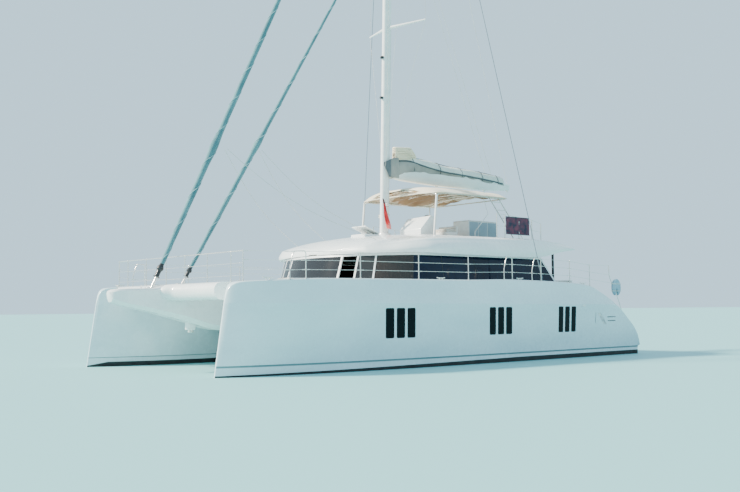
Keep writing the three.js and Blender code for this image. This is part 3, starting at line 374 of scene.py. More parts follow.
def eased(points: Sequence[Point], pieces: int = 4) -> list[tuple[float, ...]]:
    """Runs a smooth curve through points.

    Args:
        points: What the curve passes through, in two or three dimensions.
        pieces: Pieces between each two points.

    Returns:
        The curve's points, ends included.
    """
    known = [np.array(p, float) for p in points]
    padded = [2 * known[0] - known[1], *known, 2 * known[-1] - known[-2]]
    found = []
    for i in range(1, len(padded) - 2):
        a, b, c, d = padded[i - 1 : i + 3]
        for step in range(pieces):
            t = step / pieces
            spot = 2 * b + (c - a) * t + (2 * a - 5 * b + 4 * c - d) * t * t
            found.append(tuple((spot + (3 * b - a - 3 * c + d) * t**3) / 2))
    return [*found, tuple(known[-1])]


class Sections:
    """Values that run smoothly along a body, from a table with one row for each station."""

    def __init__(self, rows: Sequence[Sequence[float]]) -> None:
        """Finds a slope at each station that never overshoots its neighbours."""
        table = np.array(sorted(rows), float)
        self.x, self.values = table[:, 0], table[:, 1:]
        run = np.diff(self.x)[:, None]
        rise = np.diff(self.values, axis=0) / run
        slopes = np.zeros_like(self.values)
        slopes[0], slopes[-1] = rise[0], rise[-1]
        before, after = rise[:-1], rise[1:]
        same = before * after > 0
        w1, w2 = 2 * run[1:] + run[:-1], run[1:] + 2 * run[:-1]
        safe = np.where(same, (w1 + w2) / (w1 / np.where(same, before, 1) + w2 / np.where(same, after, 1)), 0)
        slopes[1:-1] = safe
        self.slopes = slopes

    def at(self, x: float) -> np.ndarray:
        """Gives the table's values at a station."""
        x = min(max(x, self.x[0]), self.x[-1])
        i = min(max(int(np.searchsorted(self.x, x)) - 1, 0), len(self.x) - 2)
        h = self.x[i + 1] - self.x[i]
        t = (x - self.x[i]) / h
        low = (1 + 2 * t) * (1 - t) ** 2 * self.values[i] + t * (1 - t) ** 2 * h * self.slopes[i]
        high = t * t * (3 - 2 * t) * self.values[i + 1] + t * t * (t - 1) * h * self.slopes[i + 1]
        return low + high

    def stations(self, spacing: float) -> list[float]:
        """Lists stations no further apart than spacing, with the table's own among them."""
        found = []
        for a, b in zip(self.x[:-1], self.x[1:]):
            count = max(2, math.ceil((b - a) / spacing))
            found += [mix(a, b, k / count) for k in range(count)]
        return [*found, float(self.x[-1])]


class Form:
    """Geometry under construction: a bmesh and the operators that shape it."""

    def __init__(self) -> None:
        """Starts with nothing."""
        self.bm = bmesh.new()

    def bevel(self, verts: Iterable[bmesh.types.BMVert], size: float, segments: int = 3) -> None:
        """Rounds the edges between vertices."""
        chosen = set(verts)
        edges = [e for e in self.bm.edges if e.verts[0] in chosen and e.verts[1] in chosen]
        bmesh.ops.bevel(
            self.bm, geom=edges, offset=size, affect="EDGES", segments=segments, profile=0.5, material=-1
        )

    def box(self, low: Point, high: Point, bevel: float = 0.0, segments: int = 3) -> None:
        """Adds a box between two corners, with rounded edges if bevel is given."""
        made = bmesh.ops.create_cube(self.bm, size=1.0)["verts"]
        size = [h - l for l, h in zip(low, high)]
        bmesh.ops.scale(self.bm, vec=size, verts=made)
        bmesh.ops.translate(self.bm, vec=[(l + h) / 2 for l, h in zip(low, high)], verts=made)
        if bevel:
            self.bevel(made, min(bevel, 0.49 * min(size)), segments)

    def rod(self, a: Point, b: Point, radius: float, end: Optional[float] = None, sides: int = 14) -> None:
        """Adds a round bar from a to b, tapering to the end radius if it is given."""
        start, stop = Vector(a), Vector(b)
        way = stop - start
        turn = UP.rotation_difference(way.normalized()).to_matrix().to_4x4()
        bmesh.ops.create_cone(
            self.bm,
            cap_ends=True,
            segments=sides,
            radius1=radius,
            radius2=radius if end is None else end,
            depth=way.length,
            matrix=Matrix.Translation((start + stop) / 2) @ turn,
        )

    def ball(self, centre: Point, radius: float, scale: Point = (1, 1, 1)) -> None:
        """Adds a ball, stretched by scale."""
        matrix = Matrix.Translation(Vector(centre)) @ Matrix.Diagonal((*scale, 1))
        bmesh.ops.create_uvsphere(self.bm, u_segments=16, v_segments=10, radius=radius, matrix=matrix)

    def spin(self, shape: Sequence[object], centre: Vector, axis: Vector, steps: int) -> dict[str, list[object]]:
        """Turns a shape once round an axis and joins its ends."""
        return bmesh.ops.spin(
            self.bm, geom=shape, cent=centre, axis=axis, angle=2 * pi, steps=steps, use_merge=True,
            use_duplicate=False,
        )

    def lathe(self, profile: Outline, base: Point, axis: Point, steps: int = 28) -> None:
        """Spins a profile of (radius, height) pairs about an axis through base."""
        origin, way = Vector(base), Vector(axis).normalized()
        side = way.orthogonal().normalized()
        verts = [self.bm.verts.new(origin + way * h + side * max(r, 1e-5)) for r, h in profile]
        edges = [self.bm.edges.new(pair) for pair in zip(verts[:-1], verts[1:])]
        near = set(self.spin([*verts, *edges], origin, way, steps)["geom_last"])
        reach = max(r for r, _ in profile) * 4 + max(abs(h) for _, h in profile)
        around = [v for v in self.bm.verts if v in near or (v.co - origin).length <= reach]
        bmesh.ops.remove_doubles(self.bm, verts=around, dist=5e-5)

    def loft(
        self, rings: Sequence[Sequence[Point]], closed: bool = True, caps: bool = True
    ) -> list[bmesh.types.BMFace]:
        """Skins rings that have equally many points.

        Args:
            rings: The rings, in order.
            closed: Whether each ring joins its last point to its first.
            caps: Whether the first and last rings are filled.

        Returns:
            The faces made.
        """
        before = set(self.bm.faces)
        verts = [self.bm.verts.new(p) for p in rings[0]]
        count = len(verts)
        pairs = [(i, (i + 1) % count) for i in range(count if closed else count - 1)]
        edges = [self.bm.edges.new((verts[i], verts[j])) for i, j in pairs]
        first = list(edges)
        for ring in rings[1:]:
            place = {v: k for k, v in enumerate(verts)}
            made = bmesh.ops.extrude_edge_only(self.bm, edges=edges)["geom"]
            fresh: list[Optional[bmesh.types.BMVert]] = [None] * count
            for vert in (g for g in made if isinstance(g, bmesh.types.BMVert)):
                for edge in vert.link_edges:
                    other = edge.other_vert(vert)
                    if other in place:
                        fresh[place[other]] = vert
            for vert, spot in zip(fresh, ring):
                vert.co = spot
            verts = fresh
            edges = [self.bm.edges.get((verts[i], verts[j])) for i, j in pairs]
        if caps and closed:
            for ends in (first, edges):
                bmesh.ops.contextual_create(self.bm, geom=ends)
        return [f for f in self.bm.faces if f not in before]

    def sweep(self, points: Sequence[Point], radius: float, sides: int = 10) -> None:
        """Adds a round bar along a curve."""
        spots = [Vector(p) for p in points]
        ways = [(b - a).normalized() for a, b in zip(spots[:-1], spots[1:])]
        tangents = [ways[0], *[(a + b).normalized() for a, b in zip(ways[:-1], ways[1:])], ways[-1]]
        side = tangents[0].orthogonal().normalized()
        rings = []
        for spot, along in zip(spots, tangents):
            side = (side - along * side.dot(along)).normalized()
            other = along.cross(side)
            rings.append([spot + (side * cos(t) + other * sin(t)) * radius for t in angles(sides)])
        self.loft(rings)

    def hoop(self, centre: Point, axis: Point, radius: float, bar: float, steps: int = 20, sides: int = 8) -> None:
        """Adds a closed round ring of bar about an axis."""
        origin, way = Vector(centre), Vector(axis).normalized()
        side = way.orthogonal().normalized()
        turn = Matrix((side, way, side.cross(way))).transposed().to_4x4()
        matrix = Matrix.Translation(origin + side * radius) @ turn
        verts = bmesh.ops.create_circle(self.bm, cap_ends=False, segments=sides, radius=bar, matrix=matrix)["verts"]
        self.spin([*verts, *{e for v in verts for e in v.link_edges}], origin, way, steps)

    def slab(self, outline: Sequence[Point], offset: Point, bevel: float = 0.0, segments: int = 2) -> None:
        """Extrudes a flat outline by an offset, with rounded edges if bevel is given."""
        verts = [self.bm.verts.new(p) for p in outline]
        face = self.bm.faces.new(verts)
        made = bmesh.ops.extrude_face_region(self.bm, geom=[face])["geom"]
        moved = [g for g in made if isinstance(g, bmesh.types.BMVert)]
        bmesh.ops.translate(self.bm, vec=offset, verts=moved)
        if bevel:
            self.bevel([*verts, *moved], bevel, segments)

    def mirrored(self) -> "Form":
        """Gives a copy mirrored across the centreline."""
        twin = Form()
        twin.bm = self.bm.copy()
        bmesh.ops.scale(twin.bm, vec=(1, -1, 1), verts=twin.bm.verts)
        bmesh.ops.reverse_faces(twin.bm, faces=twin.bm.faces)
        return twin

    def object(self, name: str, finishes: Sequence[Finish], sharp: float = 32.0) -> Piece:
        """Turns the form into an object at the origin.

        Args:
            name: The object's name.
            finishes: What its material slots hold.
            sharp: Edges that turn by more degrees than this stay crisp.

        Returns:
            The object, linked into the scene.
        """
        bmesh.ops.recalc_face_normals(self.bm, faces=self.bm.faces)
        mesh = bpy.data.meshes.new(name)
        self.bm.to_mesh(mesh)
        self.bm.free()
        for finish in finishes:
            mesh.materials.append(Paintshop.material_for(finish))
        mesh.shade_smooth()
        mesh.set_sharp_from_angle(angle=radians(sharp))
        made = bpy.data.objects.new(name, mesh)
        bpy.context.scene.collection.objects.link(made)
        return made


def forms(count: int) -> list[Form]:
    """Starts several forms."""
    return [Form() for _ in range(count)]


def settle(piece: Piece) -> None:
    """Applies a piece's modifiers to its mesh."""
    graph = bpy.context.evaluated_depsgraph_get()
    mesh = bpy.data.meshes.new_from_object(piece.evaluated_get(graph), depsgraph=graph)
    piece.modifiers.clear()
    piece.data = mesh


def thicken(cloth: Piece) -> None:
    """Gives a cloth the thickness of its weave."""
    thick = cloth.modifiers.new("cloth_thickness", "SOLIDIFY")
    thick.thickness, thick.offset = 0.003, 0.0


def carve(piece: Piece, cutters: Sequence[Piece], sharp: float = 32.0) -> None:
    """Cuts pieces out of another and removes them.

    Args:
        piece: What is cut.
        cutters: The shapes taken away, one after another.
        sharp: Edges that turn by more degrees than this stay crisp.
    """
    for cutter in cutters:
        cut = piece.modifiers.new("cut", "BOOLEAN")
        cut.operation, cut.solver, cut.object = "DIFFERENCE", "EXACT", cutter
    settle(piece)
    piece.data.shade_smooth()
    piece.data.set_sharp_from_angle(angle=radians(sharp))
    for cutter in cutters:
        bpy.data.objects.remove(cutter)


def fit(
    made: object,
    name: str,
    finishes: Sequence[Finish] = (),
    nodes: Sequence[str] = (),
    body: str = BOAT,
    sharp: float = 32.0,
) -> Piece:
    """Puts a piece on the boat.

    Args:
        made: The form, or an object made already.
        name: The piece's name.
        finishes: What its material slots hold.
        nodes: The frame's nodes that it stands for.
        body: The body it rides on.
        sharp: Edges that turn by more degrees than this stay crisp.

    Returns:
        The piece.
    """
    piece = made.object(name, finishes, sharp) if isinstance(made, Form) else made
    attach(piece, body)
    if nodes:
        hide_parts(*nodes)
    log.info("%s: %d faces on %s", name, len(piece.data.polygons), body)
    return piece


def fit_twins(
    form: Form, stem: str, finishes: Sequence[Finish], node: str = "", body: str = ""
) -> None:
    """Fits a port form and its mirror image.

    Args:
        form: The port form.
        stem: Both pieces' name before the side's.
        finishes: What their material slots hold.
        node: The name before the side's of the nodes that they stand for.
        body: The name before the side's of the bodies they ride on, if they move.
    """
    for shape, (side, _) in zip((form, form.mirrored()), SIDES):
        nodes = [f"{node}_{side}"] if node else []
        fit(shape, f"{stem}_{side}", finishes, nodes, f"{body}_{side}" if body else BOAT)


# Hulls


@dataclass
class Hulls:
    """The two hulls with their windows, stairs, deck fittings and appendages."""

    centre: float = 3.85
    chine: float = 0.28
    chine_step: float = 0.025
    # Height where the painted chine shadow strip begins.
    painted_chine_shadow: float = 0.25
    ledge: float = 0.045
    edge: float = 0.045
    rake: float = 0.4
    rake_from: float = 6.0
    rake_top: float = 2.59
    knuckle: Pair = (1.87, 1.985)
    window_z: Pair = (0.91, 1.81)
    window_groups: tuple[Pair, ...] = ((2.845, 4.02), (-1.524, -0.415), (-4.954, -3.96))
    panes: int = 3
    pane_gap: float = 0.085
    pane_lean: float = 0.11
    vent: tuple[Pair, ...] = ((-6.22, 1.56), (-6.66, 1.15), (-6.86, 1.15), (-6.42, 1.56))
    inner_boot: float = 0.15
    rows: Rows = (
        # x, keel, water, knuckle, deck, inner, top
        (9.15, -0.04, 0.018, 0.026, 0.024, 0.018, 2.06),
        (9.12, -0.16, 0.042, 0.066, 0.06, 0.042, 2.33),
        (9.04, -0.3, 0.086, 0.138, 0.125, 0.088, 2.48),
        (8.85, -0.44, 0.16, 0.262, 0.235, 0.16, 2.56),
        (8.4, -0.57, 0.3, 0.48, 0.425, 0.31, 2.59),
        (7.6, -0.68, 0.49, 0.76, 0.665, 0.56, 2.612),
        (6.8, -0.74, 0.64, 0.945, 0.825, 0.76, 2.64),
        (6.1, -0.78, 0.745, 1.055, 0.925, 0.85, 2.652),
        (4.8, -0.825, 0.87, 1.165, 1.025, 0.85, 2.655),
        (3.0, -0.85, 0.955, 1.235, 1.085, 0.85, 2.658),
        (0.5, -0.855, 1.0, 1.25, 1.1, 0.85, 2.662),
        (-1.5, -0.84, 1.005, 1.25, 1.1, 0.85, 2.7),
        (-3.0, -0.8, 1.0, 1.248, 1.1, 0.85, 2.68),
        (-4.84, -0.7, 0.975, 1.238, 1.09, 0.85, 2.63),
        (-6.0, -0.61, 0.96, 1.22, 1.08, 0.85, 2.53),
        (-6.57, -0.555, 0.95, 1.208, 1.08, 0.85, 2.32),
        (-7.3, -0.47, 0.94, 1.19, 1.09, 0.85, 1.99),
        (-8.1, -0.35, 0.935, 1.15, 1.085, 0.85, 1.46),
        (-8.85, -0.19, 0.935, 1.08, 1.05, 0.85, 0.81),
        (-9.03, -0.12, 0.935, 1.04, 1.02, 0.84, 0.43),
    )
    stairs_y: Pair = (3.18, 4.5)
    landing: Triple = (-7.15, -6.35, 2.0)
    step_rise: float = 0.31
    step_x: tuple[float, ...] = (-7.15, -7.5, -7.85, -8.2, -8.5, -9.3)
    sections: Sections = field(init=False)

    def __post_init__(self) -> None:
        """Makes the smooth sections from the rows."""
        self.sections = Sections(self.rows)

    def knuckle_z(self, x: float) -> float:
        """Gives the height of the hull's knuckle."""
        return mix(self.knuckle[0], self.knuckle[1], (x + 5.9) / 15)

    def boot(self, x: float, inner: bool = False) -> float:
        """Gives the height of the bottom paint's edge on the outer or the inner side."""
        outer = mix(0.15, 0.045, min(1.0, max(0, (x + 2.0) / 11.0)))
        return mix(outer, self.inner_boot, min(1.0, (self.rows[0][0] - x) / 0.6)) if inner else outer

    def raked(self, x: float, z: float) -> float:
        """Leans the stem aft as it rises, fading out along the bow."""
        fade = max(0, (x - self.rake_from) / (self.rows[0][0] - self.rake_from))
        return x - self.rake * fade * max(0, z) / self.rake_top

    def skin(self, x: float, z: float) -> float:
        """Gives how far the topside lies off the centreline between chine and knuckle."""
        _, water, knuckle, _, _, _ = self.sections.at(x)
        low, high = self.chine + self.chine_step, self.knuckle_z(x)
        return self.centre + mix(water + self.ledge, knuckle, (z - low) / (high - low))

    def deck_at(self, x: float) -> Pair:
        """Gives the port deck edge's distance off the centreline and its height."""
        _, _, _, deck, _, top = self.sections.at(x)
        return self.centre + deck, top

    def ring(self, x: float) -> list[Vector]:
        """Gives one section of the port hull, from the keel up its outer side and down its inner one."""
        keel, water, knuckle, deck, inner, top = self.sections.at(x)
        boot, edge = self.boot(x), min(self.edge, deck / 2)
        knuckle_z = min(self.knuckle_z(x), top - 2 * self.edge)
        chine = min(self.ledge, water / 4)
        power = 2 / 2.15
        bends = [radians(90 * k / 16) for k in range(16)]
        outer = [(water * sin(a) ** power, keel * cos(a) ** power) for a in bends]
        outer += [(water + chine * 0.2 * z / self.chine, z) for z in (0, boot, self.painted_chine_shadow, self.chine)]
        outer.append((water + chine, self.chine + self.chine_step))
        outer.append((mix(water + chine, knuckle, 0.5), mix(self.chine + self.chine_step, knuckle_z, 0.5)))
        outer.append((knuckle, knuckle_z))
        outer.append((mix(knuckle, deck, 0.5), mix(knuckle_z, top - edge, 0.5)))
        turns = [radians(90 * k / 8) for k in range(9)]
        outer += [(deck - edge + edge * cos(a), top - edge + edge * sin(a)) for a in turns]
        lip = min(0.03, inner / 3)
        within = [(-inner + lip * (1 - sin(a)), top - lip * (1 - cos(a))) for a in turns]
        within += [(-inner, self.chine + self.chine_step), (-inner + lip / 2, self.chine)]
        within += [(-0.97 * inner, self.boot(x, True)), (-0.965 * inner, 0)]
        within += [(-0.965 * inner * sin(a) ** power, keel * cos(a) ** power) for a in reversed(bends[1:])]
        return [Vector((self.raked(x, z), self.centre + y, z)) for y, z in [*outer, *within]]

    def skin_prism(self, form: Form, outline: Outline, deep: float, proud: float) -> None:
        """Adds a patch that follows the topside.

        Args:
            form: Where it goes.
            outline: Its (x, z) points.
            deep: How far in its back lies.
            proud: How far out its face lies; below zero is in.
        """
        form.slab([(x, self.skin(x, z) - deep, z) for x, z in outline], (0, deep + proud, 0))

    def pane_outlines(self, shrink: float) -> list[Outline]:
        """Lists the windows' outlines, each drawn in by shrink."""
        found = []
        low, high = self.window_z
        for start, end in self.window_groups:
            wide = (end - start - self.pane_gap * (self.panes - 1)) / self.panes
            shape = rounded(wide - 2 * shrink, high - low - 2 * shrink, 0.05 - shrink / 2)
            for k in range(self.panes):
                x = start + wide / 2 + k * (wide + self.pane_gap)
                found.append([(x + u + self.pane_lean * v, (low + high) / 2 + v) for u, v in shape])
        return found

    def vent_outline(self, shrink: float) -> Outline:
        """Gives the engine vent's slanted outline near the stern."""
        x0, z0 = np.mean(self.vent, axis=0)
        return [(mix(x, x0, shrink / 0.1), mix(z, z0, shrink / 0.1)) for x, z in self.vent]

    def shell(self, side: str) -> Piece:
        """Builds one hull with its windows, vent and stairs cut."""
        form = Form()
        form.loft([self.ring(x) for x in self.sections.stations(0.2)])
        for face in form.bm.faces:
            middle = face.calc_center_median()
            heights = [v.co.z for v in face.verts]
            if max(heights) <= self.boot(middle.x, middle.y < self.centre) + 0.02:
                face.material_index = 1
            # Faces from the foot of the painted chine shadow up to the ledge's top take the third slot, a painted
            # shadow line.
            elif min(heights) >= self.painted_chine_shadow - 0.001 and max(heights) <= self.chine + self.chine_step + 0.001:
                face.material_index = 2
        cuts = Form()
        for outline in [*self.pane_outlines(0), self.vent_outline(0)]:
            self.skin_prism(cuts, outline, 0.014, 0.15)
        flight, strip = forms(2)
        y0, y1 = self.stairs_y
        aft, fore, level = self.landing
        outline = [(fore, level)]
        for k, x in enumerate(self.step_x[:-1]):
            outline += [(x, level - self.step_rise * k), (x, level - self.step_rise * (k + 1))]
        outline += [(self.step_x[-1], outline[-1][1]), (self.step_x[-1], 3.2), (fore, 3.2)]
        flight.slab([(x, y0, z) for x, z in outline], (0, y1 - y0, 0))
        strip.box((aft, self.centre - 0.86, level), (fore, y0 + 0.01, 3.2))
        shapes = [form, cuts, flight, strip]
        if side == "starboard":
            shapes = [shape.mirrored() for shape in shapes]
        finishes = [TOPSIDE_WATER_REFLECTION, ANTIFOULING, CHINE_SHADE]
        hull = shapes[0].object(f"hull_shell_{side}", finishes, 15)
        carve(hull, [s.object(f"cut_{k}", finishes) for k, s in enumerate(shapes[1:])], 15)
        for edge in hull.data.edges:
            ends = [hull.data.vertices[i].co for i in edge.vertices]
            if all(abs(p.y) > self.centre and abs(p.z - self.knuckle_z(p.x)) < 0.02 for p in ends):
                edge.use_edge_sharp = True
        return hull

    def glazing(self) -> None:
        """Sets the dark panes and their black rims into the topsides."""
        glass, rims = forms(2)
        for outline in self.pane_outlines(0.006):
            self.skin_prism(rims, outline, 0.0135, -0.007)
        for outline in self.pane_outlines(0.022):
            self.skin_prism(glass, outline, 0.012, -0.003)
        fit_twins(glass, "hull_windows", [HULL_GLASS])
        fit_twins(rims, "hull_window_rims", [SEAL])

    def vents(self) -> None:
        """Adds the engine vent with its louvres and the small oval cover."""
        frame_form, slats = forms(2)
        self.skin_prism(frame_form, self.vent_outline(0.003), 0.0135, -0.005)
        for fore, aft, z in ((-6.84, -7.55, 1.41), (-6.9, -7.62, 1.27)):
            outline = [(fore, z + 0.014), (aft, z + 0.01), (aft, z - 0.014), (fore, z - 0.014)]
            self.skin_prism(slats, outline, 0.001, 0.004)
        self.skin_prism(slats, [(-6.1, 1.58), (-6.115, 1.58), (-6.14, 1.2), (-6.125, 1.2)], 0.001, 0.003)
        fit_twins(frame_form, "engine_vent", [GRILLE])
        fit_twins(slats, "engine_vent_louvres", [SEAL])
        cover = Form()
        self.skin_prism(cover, [(-5.34 + 0.11 * cos(t), 1.82 + 0.035 * sin(t)) for t in angles(20)], 0, 0.012)
        fit_twins(cover, "outlet_cover", [GELCOAT])

    def treads(self) -> None:
        """Lays grip on the stern stairs, the landing and the platform."""
        pads = Form()
        y0, y1 = self.stairs_y
        inset, proud = 0.05, 0.006
        for k, (fore, aft) in enumerate(zip(self.step_x[:-1], self.step_x[1:])):
            level = self.landing[2] - self.step_rise * (k + 1)
            start = max(aft, -8.96) + inset
            pads.box((start, y0 + inset, level - 0.002), (fore - 0.02, y1 - inset, level + proud), 0.003)
        aft, fore, level = self.landing
        pads.box((aft + 0.03, y0 - 0.1, level - 0.002), (fore - inset, y1 - inset, level + proud), 0.003)
        fit_twins(pads, "stair_grip", [TEAK])

    def deck_gear(self) -> None:
        """Adds side deck grip, hatches, cleats and the toe rail."""
        grip, hatches, panes, cleats, toe = forms(5)
        for fore, aft in ((5.9, 3.6), (3.3, 0.4), (0.1, -2.6), (-2.9, -5.6)):
            rings = []
            for x in even(fore, aft, 8):
                y, z = self.deck_at(x)
                rings.append([(x, y - 0.2, z + 0.0005), (x, 3.66, z + 0.0005), (x, 3.66, z + 0.0065),
                              (x, y - 0.2, z + 0.0065)])
            grip.loft(rings)
        for x in (6.6, 4.6, -3.9):
            y, z = 3.9, self.deck_at(x)[1]
            hatches.box((x - 0.3, y - 0.3, z), (x + 0.3, y + 0.3, z + 0.035), 0.012)
            panes.box((x - 0.25, y - 0.25, z + 0.03), (x + 0.25, y + 0.25, z + 0.043), 0.006)
        horns = ((-0.17, 0.075), (-0.08, 0.062), (0, 0.06), (0.08, 0.062), (0.17, 0.075))
        for x in (7.75, 1.55, -2.2, -5.7):
            y, z = self.deck_at(x)
            y -= 0.14
            for dx in (-0.06, 0.06):
                cleats.rod((x + dx, y, z - 0.002), (x + dx, y, z + 0.06), 0.016)
            cleats.sweep(eased([(x + along, y, z + up) for along, up in horns], 3), 0.014)
        edge = [(x, *self.deck_at(x)) for x in even(8.0, -6.1, 60)]
        toe.sweep([(self.raked(x, 2.6), y - 0.075, z + 0.004) for x, y, z in edge], 0.011, 8)
        fit_twins(grip, "side_deck_grip", [DECK_GRIP])
        fit_twins(hatches, "deck_hatch_frames", [STAINLESS])
        fit_twins(panes, "deck_hatch_panes", [HULL_GLASS])
        fit_twins(cleats, "deck_cleats", [STAINLESS])
        fit_twins(toe, "toe_rail", [GELCOAT])

    def foil(self, x: float, chord: float, thick: float, z: float) -> list[Point]:
        """Gives a symmetric foil's outline in plan."""
        points = []
        for angle in angles(24):
            ahead = 0.5 * cos(angle)
            swell = math.sqrt(max(0, 0.5 - ahead)) * 0.55 if ahead > 0.2 else 0.3 + 0.2 * (ahead + 0.5) / 0.7
            half = thick * min(0.5, max(0.004, 1.05 * (ahead + 0.5) ** 0.8 * swell * 1.35))
            points.append((x + chord * ahead, self.centre + math.copysign(half, sin(angle + 1e-9)), z))
        return points

    def fin(self, x: float, chord: float, tip: float, thick: float, high: float, low: float, lean: float) -> Form:
        """Builds a foil that tapers downward."""
        form = Form()
        sizes = [(t, mix(chord, tip, t)) for t in even(0, 1, 8)]
        form.loft([self.foil(x - lean * t, size, thick * size / chord, mix(high, low, t)) for t, size in sizes])
        return form

    def appendages(self) -> None:
        """Builds the keels, rudders, drive legs and propellers."""
        keel = self.fin(0.3, 3.3, 2.5, 0.43, -0.8903, -1.5, 0.15)
        fit_twins(keel, "keel_fin", [ANTIFOULING], "keel")
        blade = self.fin(-7.854, 0.7, 0.504, 0.11, -0.58, -1.45, -0.03)
        blade.rod((-7.7, self.centre, -0.72), (-7.7, self.centre, -0.5203), 0.045, sides=24)
        fit_twins(blade, "rudder_foil", [ANTIFOULING], "rudder", "rudder_blade")
        leg = self.fin(-5.9, 0.42, 0.378, 0.13, -0.7003, -1.26, 0)
        profile = [(0, 0), (0.02, 0.005), (0.045, 0.05), (0.064, 0.16), (0.072, 0.3), (0.075, 0.5), (0, 0.5)]
        leg.lathe(profile, (-5.65, self.centre, -1.26), (-1, 0, 0))
        fit_twins(leg, "drive_leg_casting", [BRONZE], "drive_leg")
        fit_twins(self.propeller(), "propeller_blades", [BRONZE], "propeller", "screw")

    def propeller(self, blades: int = 3, radius: float = 0.265) -> Form:
        """Builds a hub and twisted blades about the shaft."""
        face, axis_z = -6.1503, -1.26
        form = Form()
        profile = [(0, 0), (0.074, 0), (0.075, 0.02), (0.072, 0.08), (0.058, 0.13), (0.03, 0.15), (0, 0.154)]
        form.lathe(profile, (face, self.centre, axis_z), (-1, 0, 0))
        for spin in angles(blades):
            rings = []
            for t in even(0, 1, 8):
                reach, pitch = mix(0.05, radius, t), radians(mix(62, 24, t))
                chord = 0.16 * sin(pi * (0.25 + 0.7 * t)) + 0.012
                ring = []
                for angle in angles(12):
                    along, thick = chord / 2 * cos(angle), mix(0.012, 0.003, t) * sin(angle)
                    ahead = along * sin(pitch) + thick * cos(pitch)
                    side = along * cos(pitch) - thick * sin(pitch)
                    y = self.centre + reach * cos(spin) - side * sin(spin)
                    ring.append((face - 0.075 - ahead * 0.8, y, axis_z + reach * sin(spin) + side * cos(spin)))
                rings.append(ring)
            form.loft(rings)
        return form

    def build(self) -> None:
        """Builds the hulls and all they carry."""
        for side, _ in SIDES:
            fit(self.shell(side), f"hull_shell_{side}", [], [f"hull_{side}"])
        self.glazing()
        self.vents()
        self.treads()
        self.deck_gear()
        self.appendages()


# Middle structure


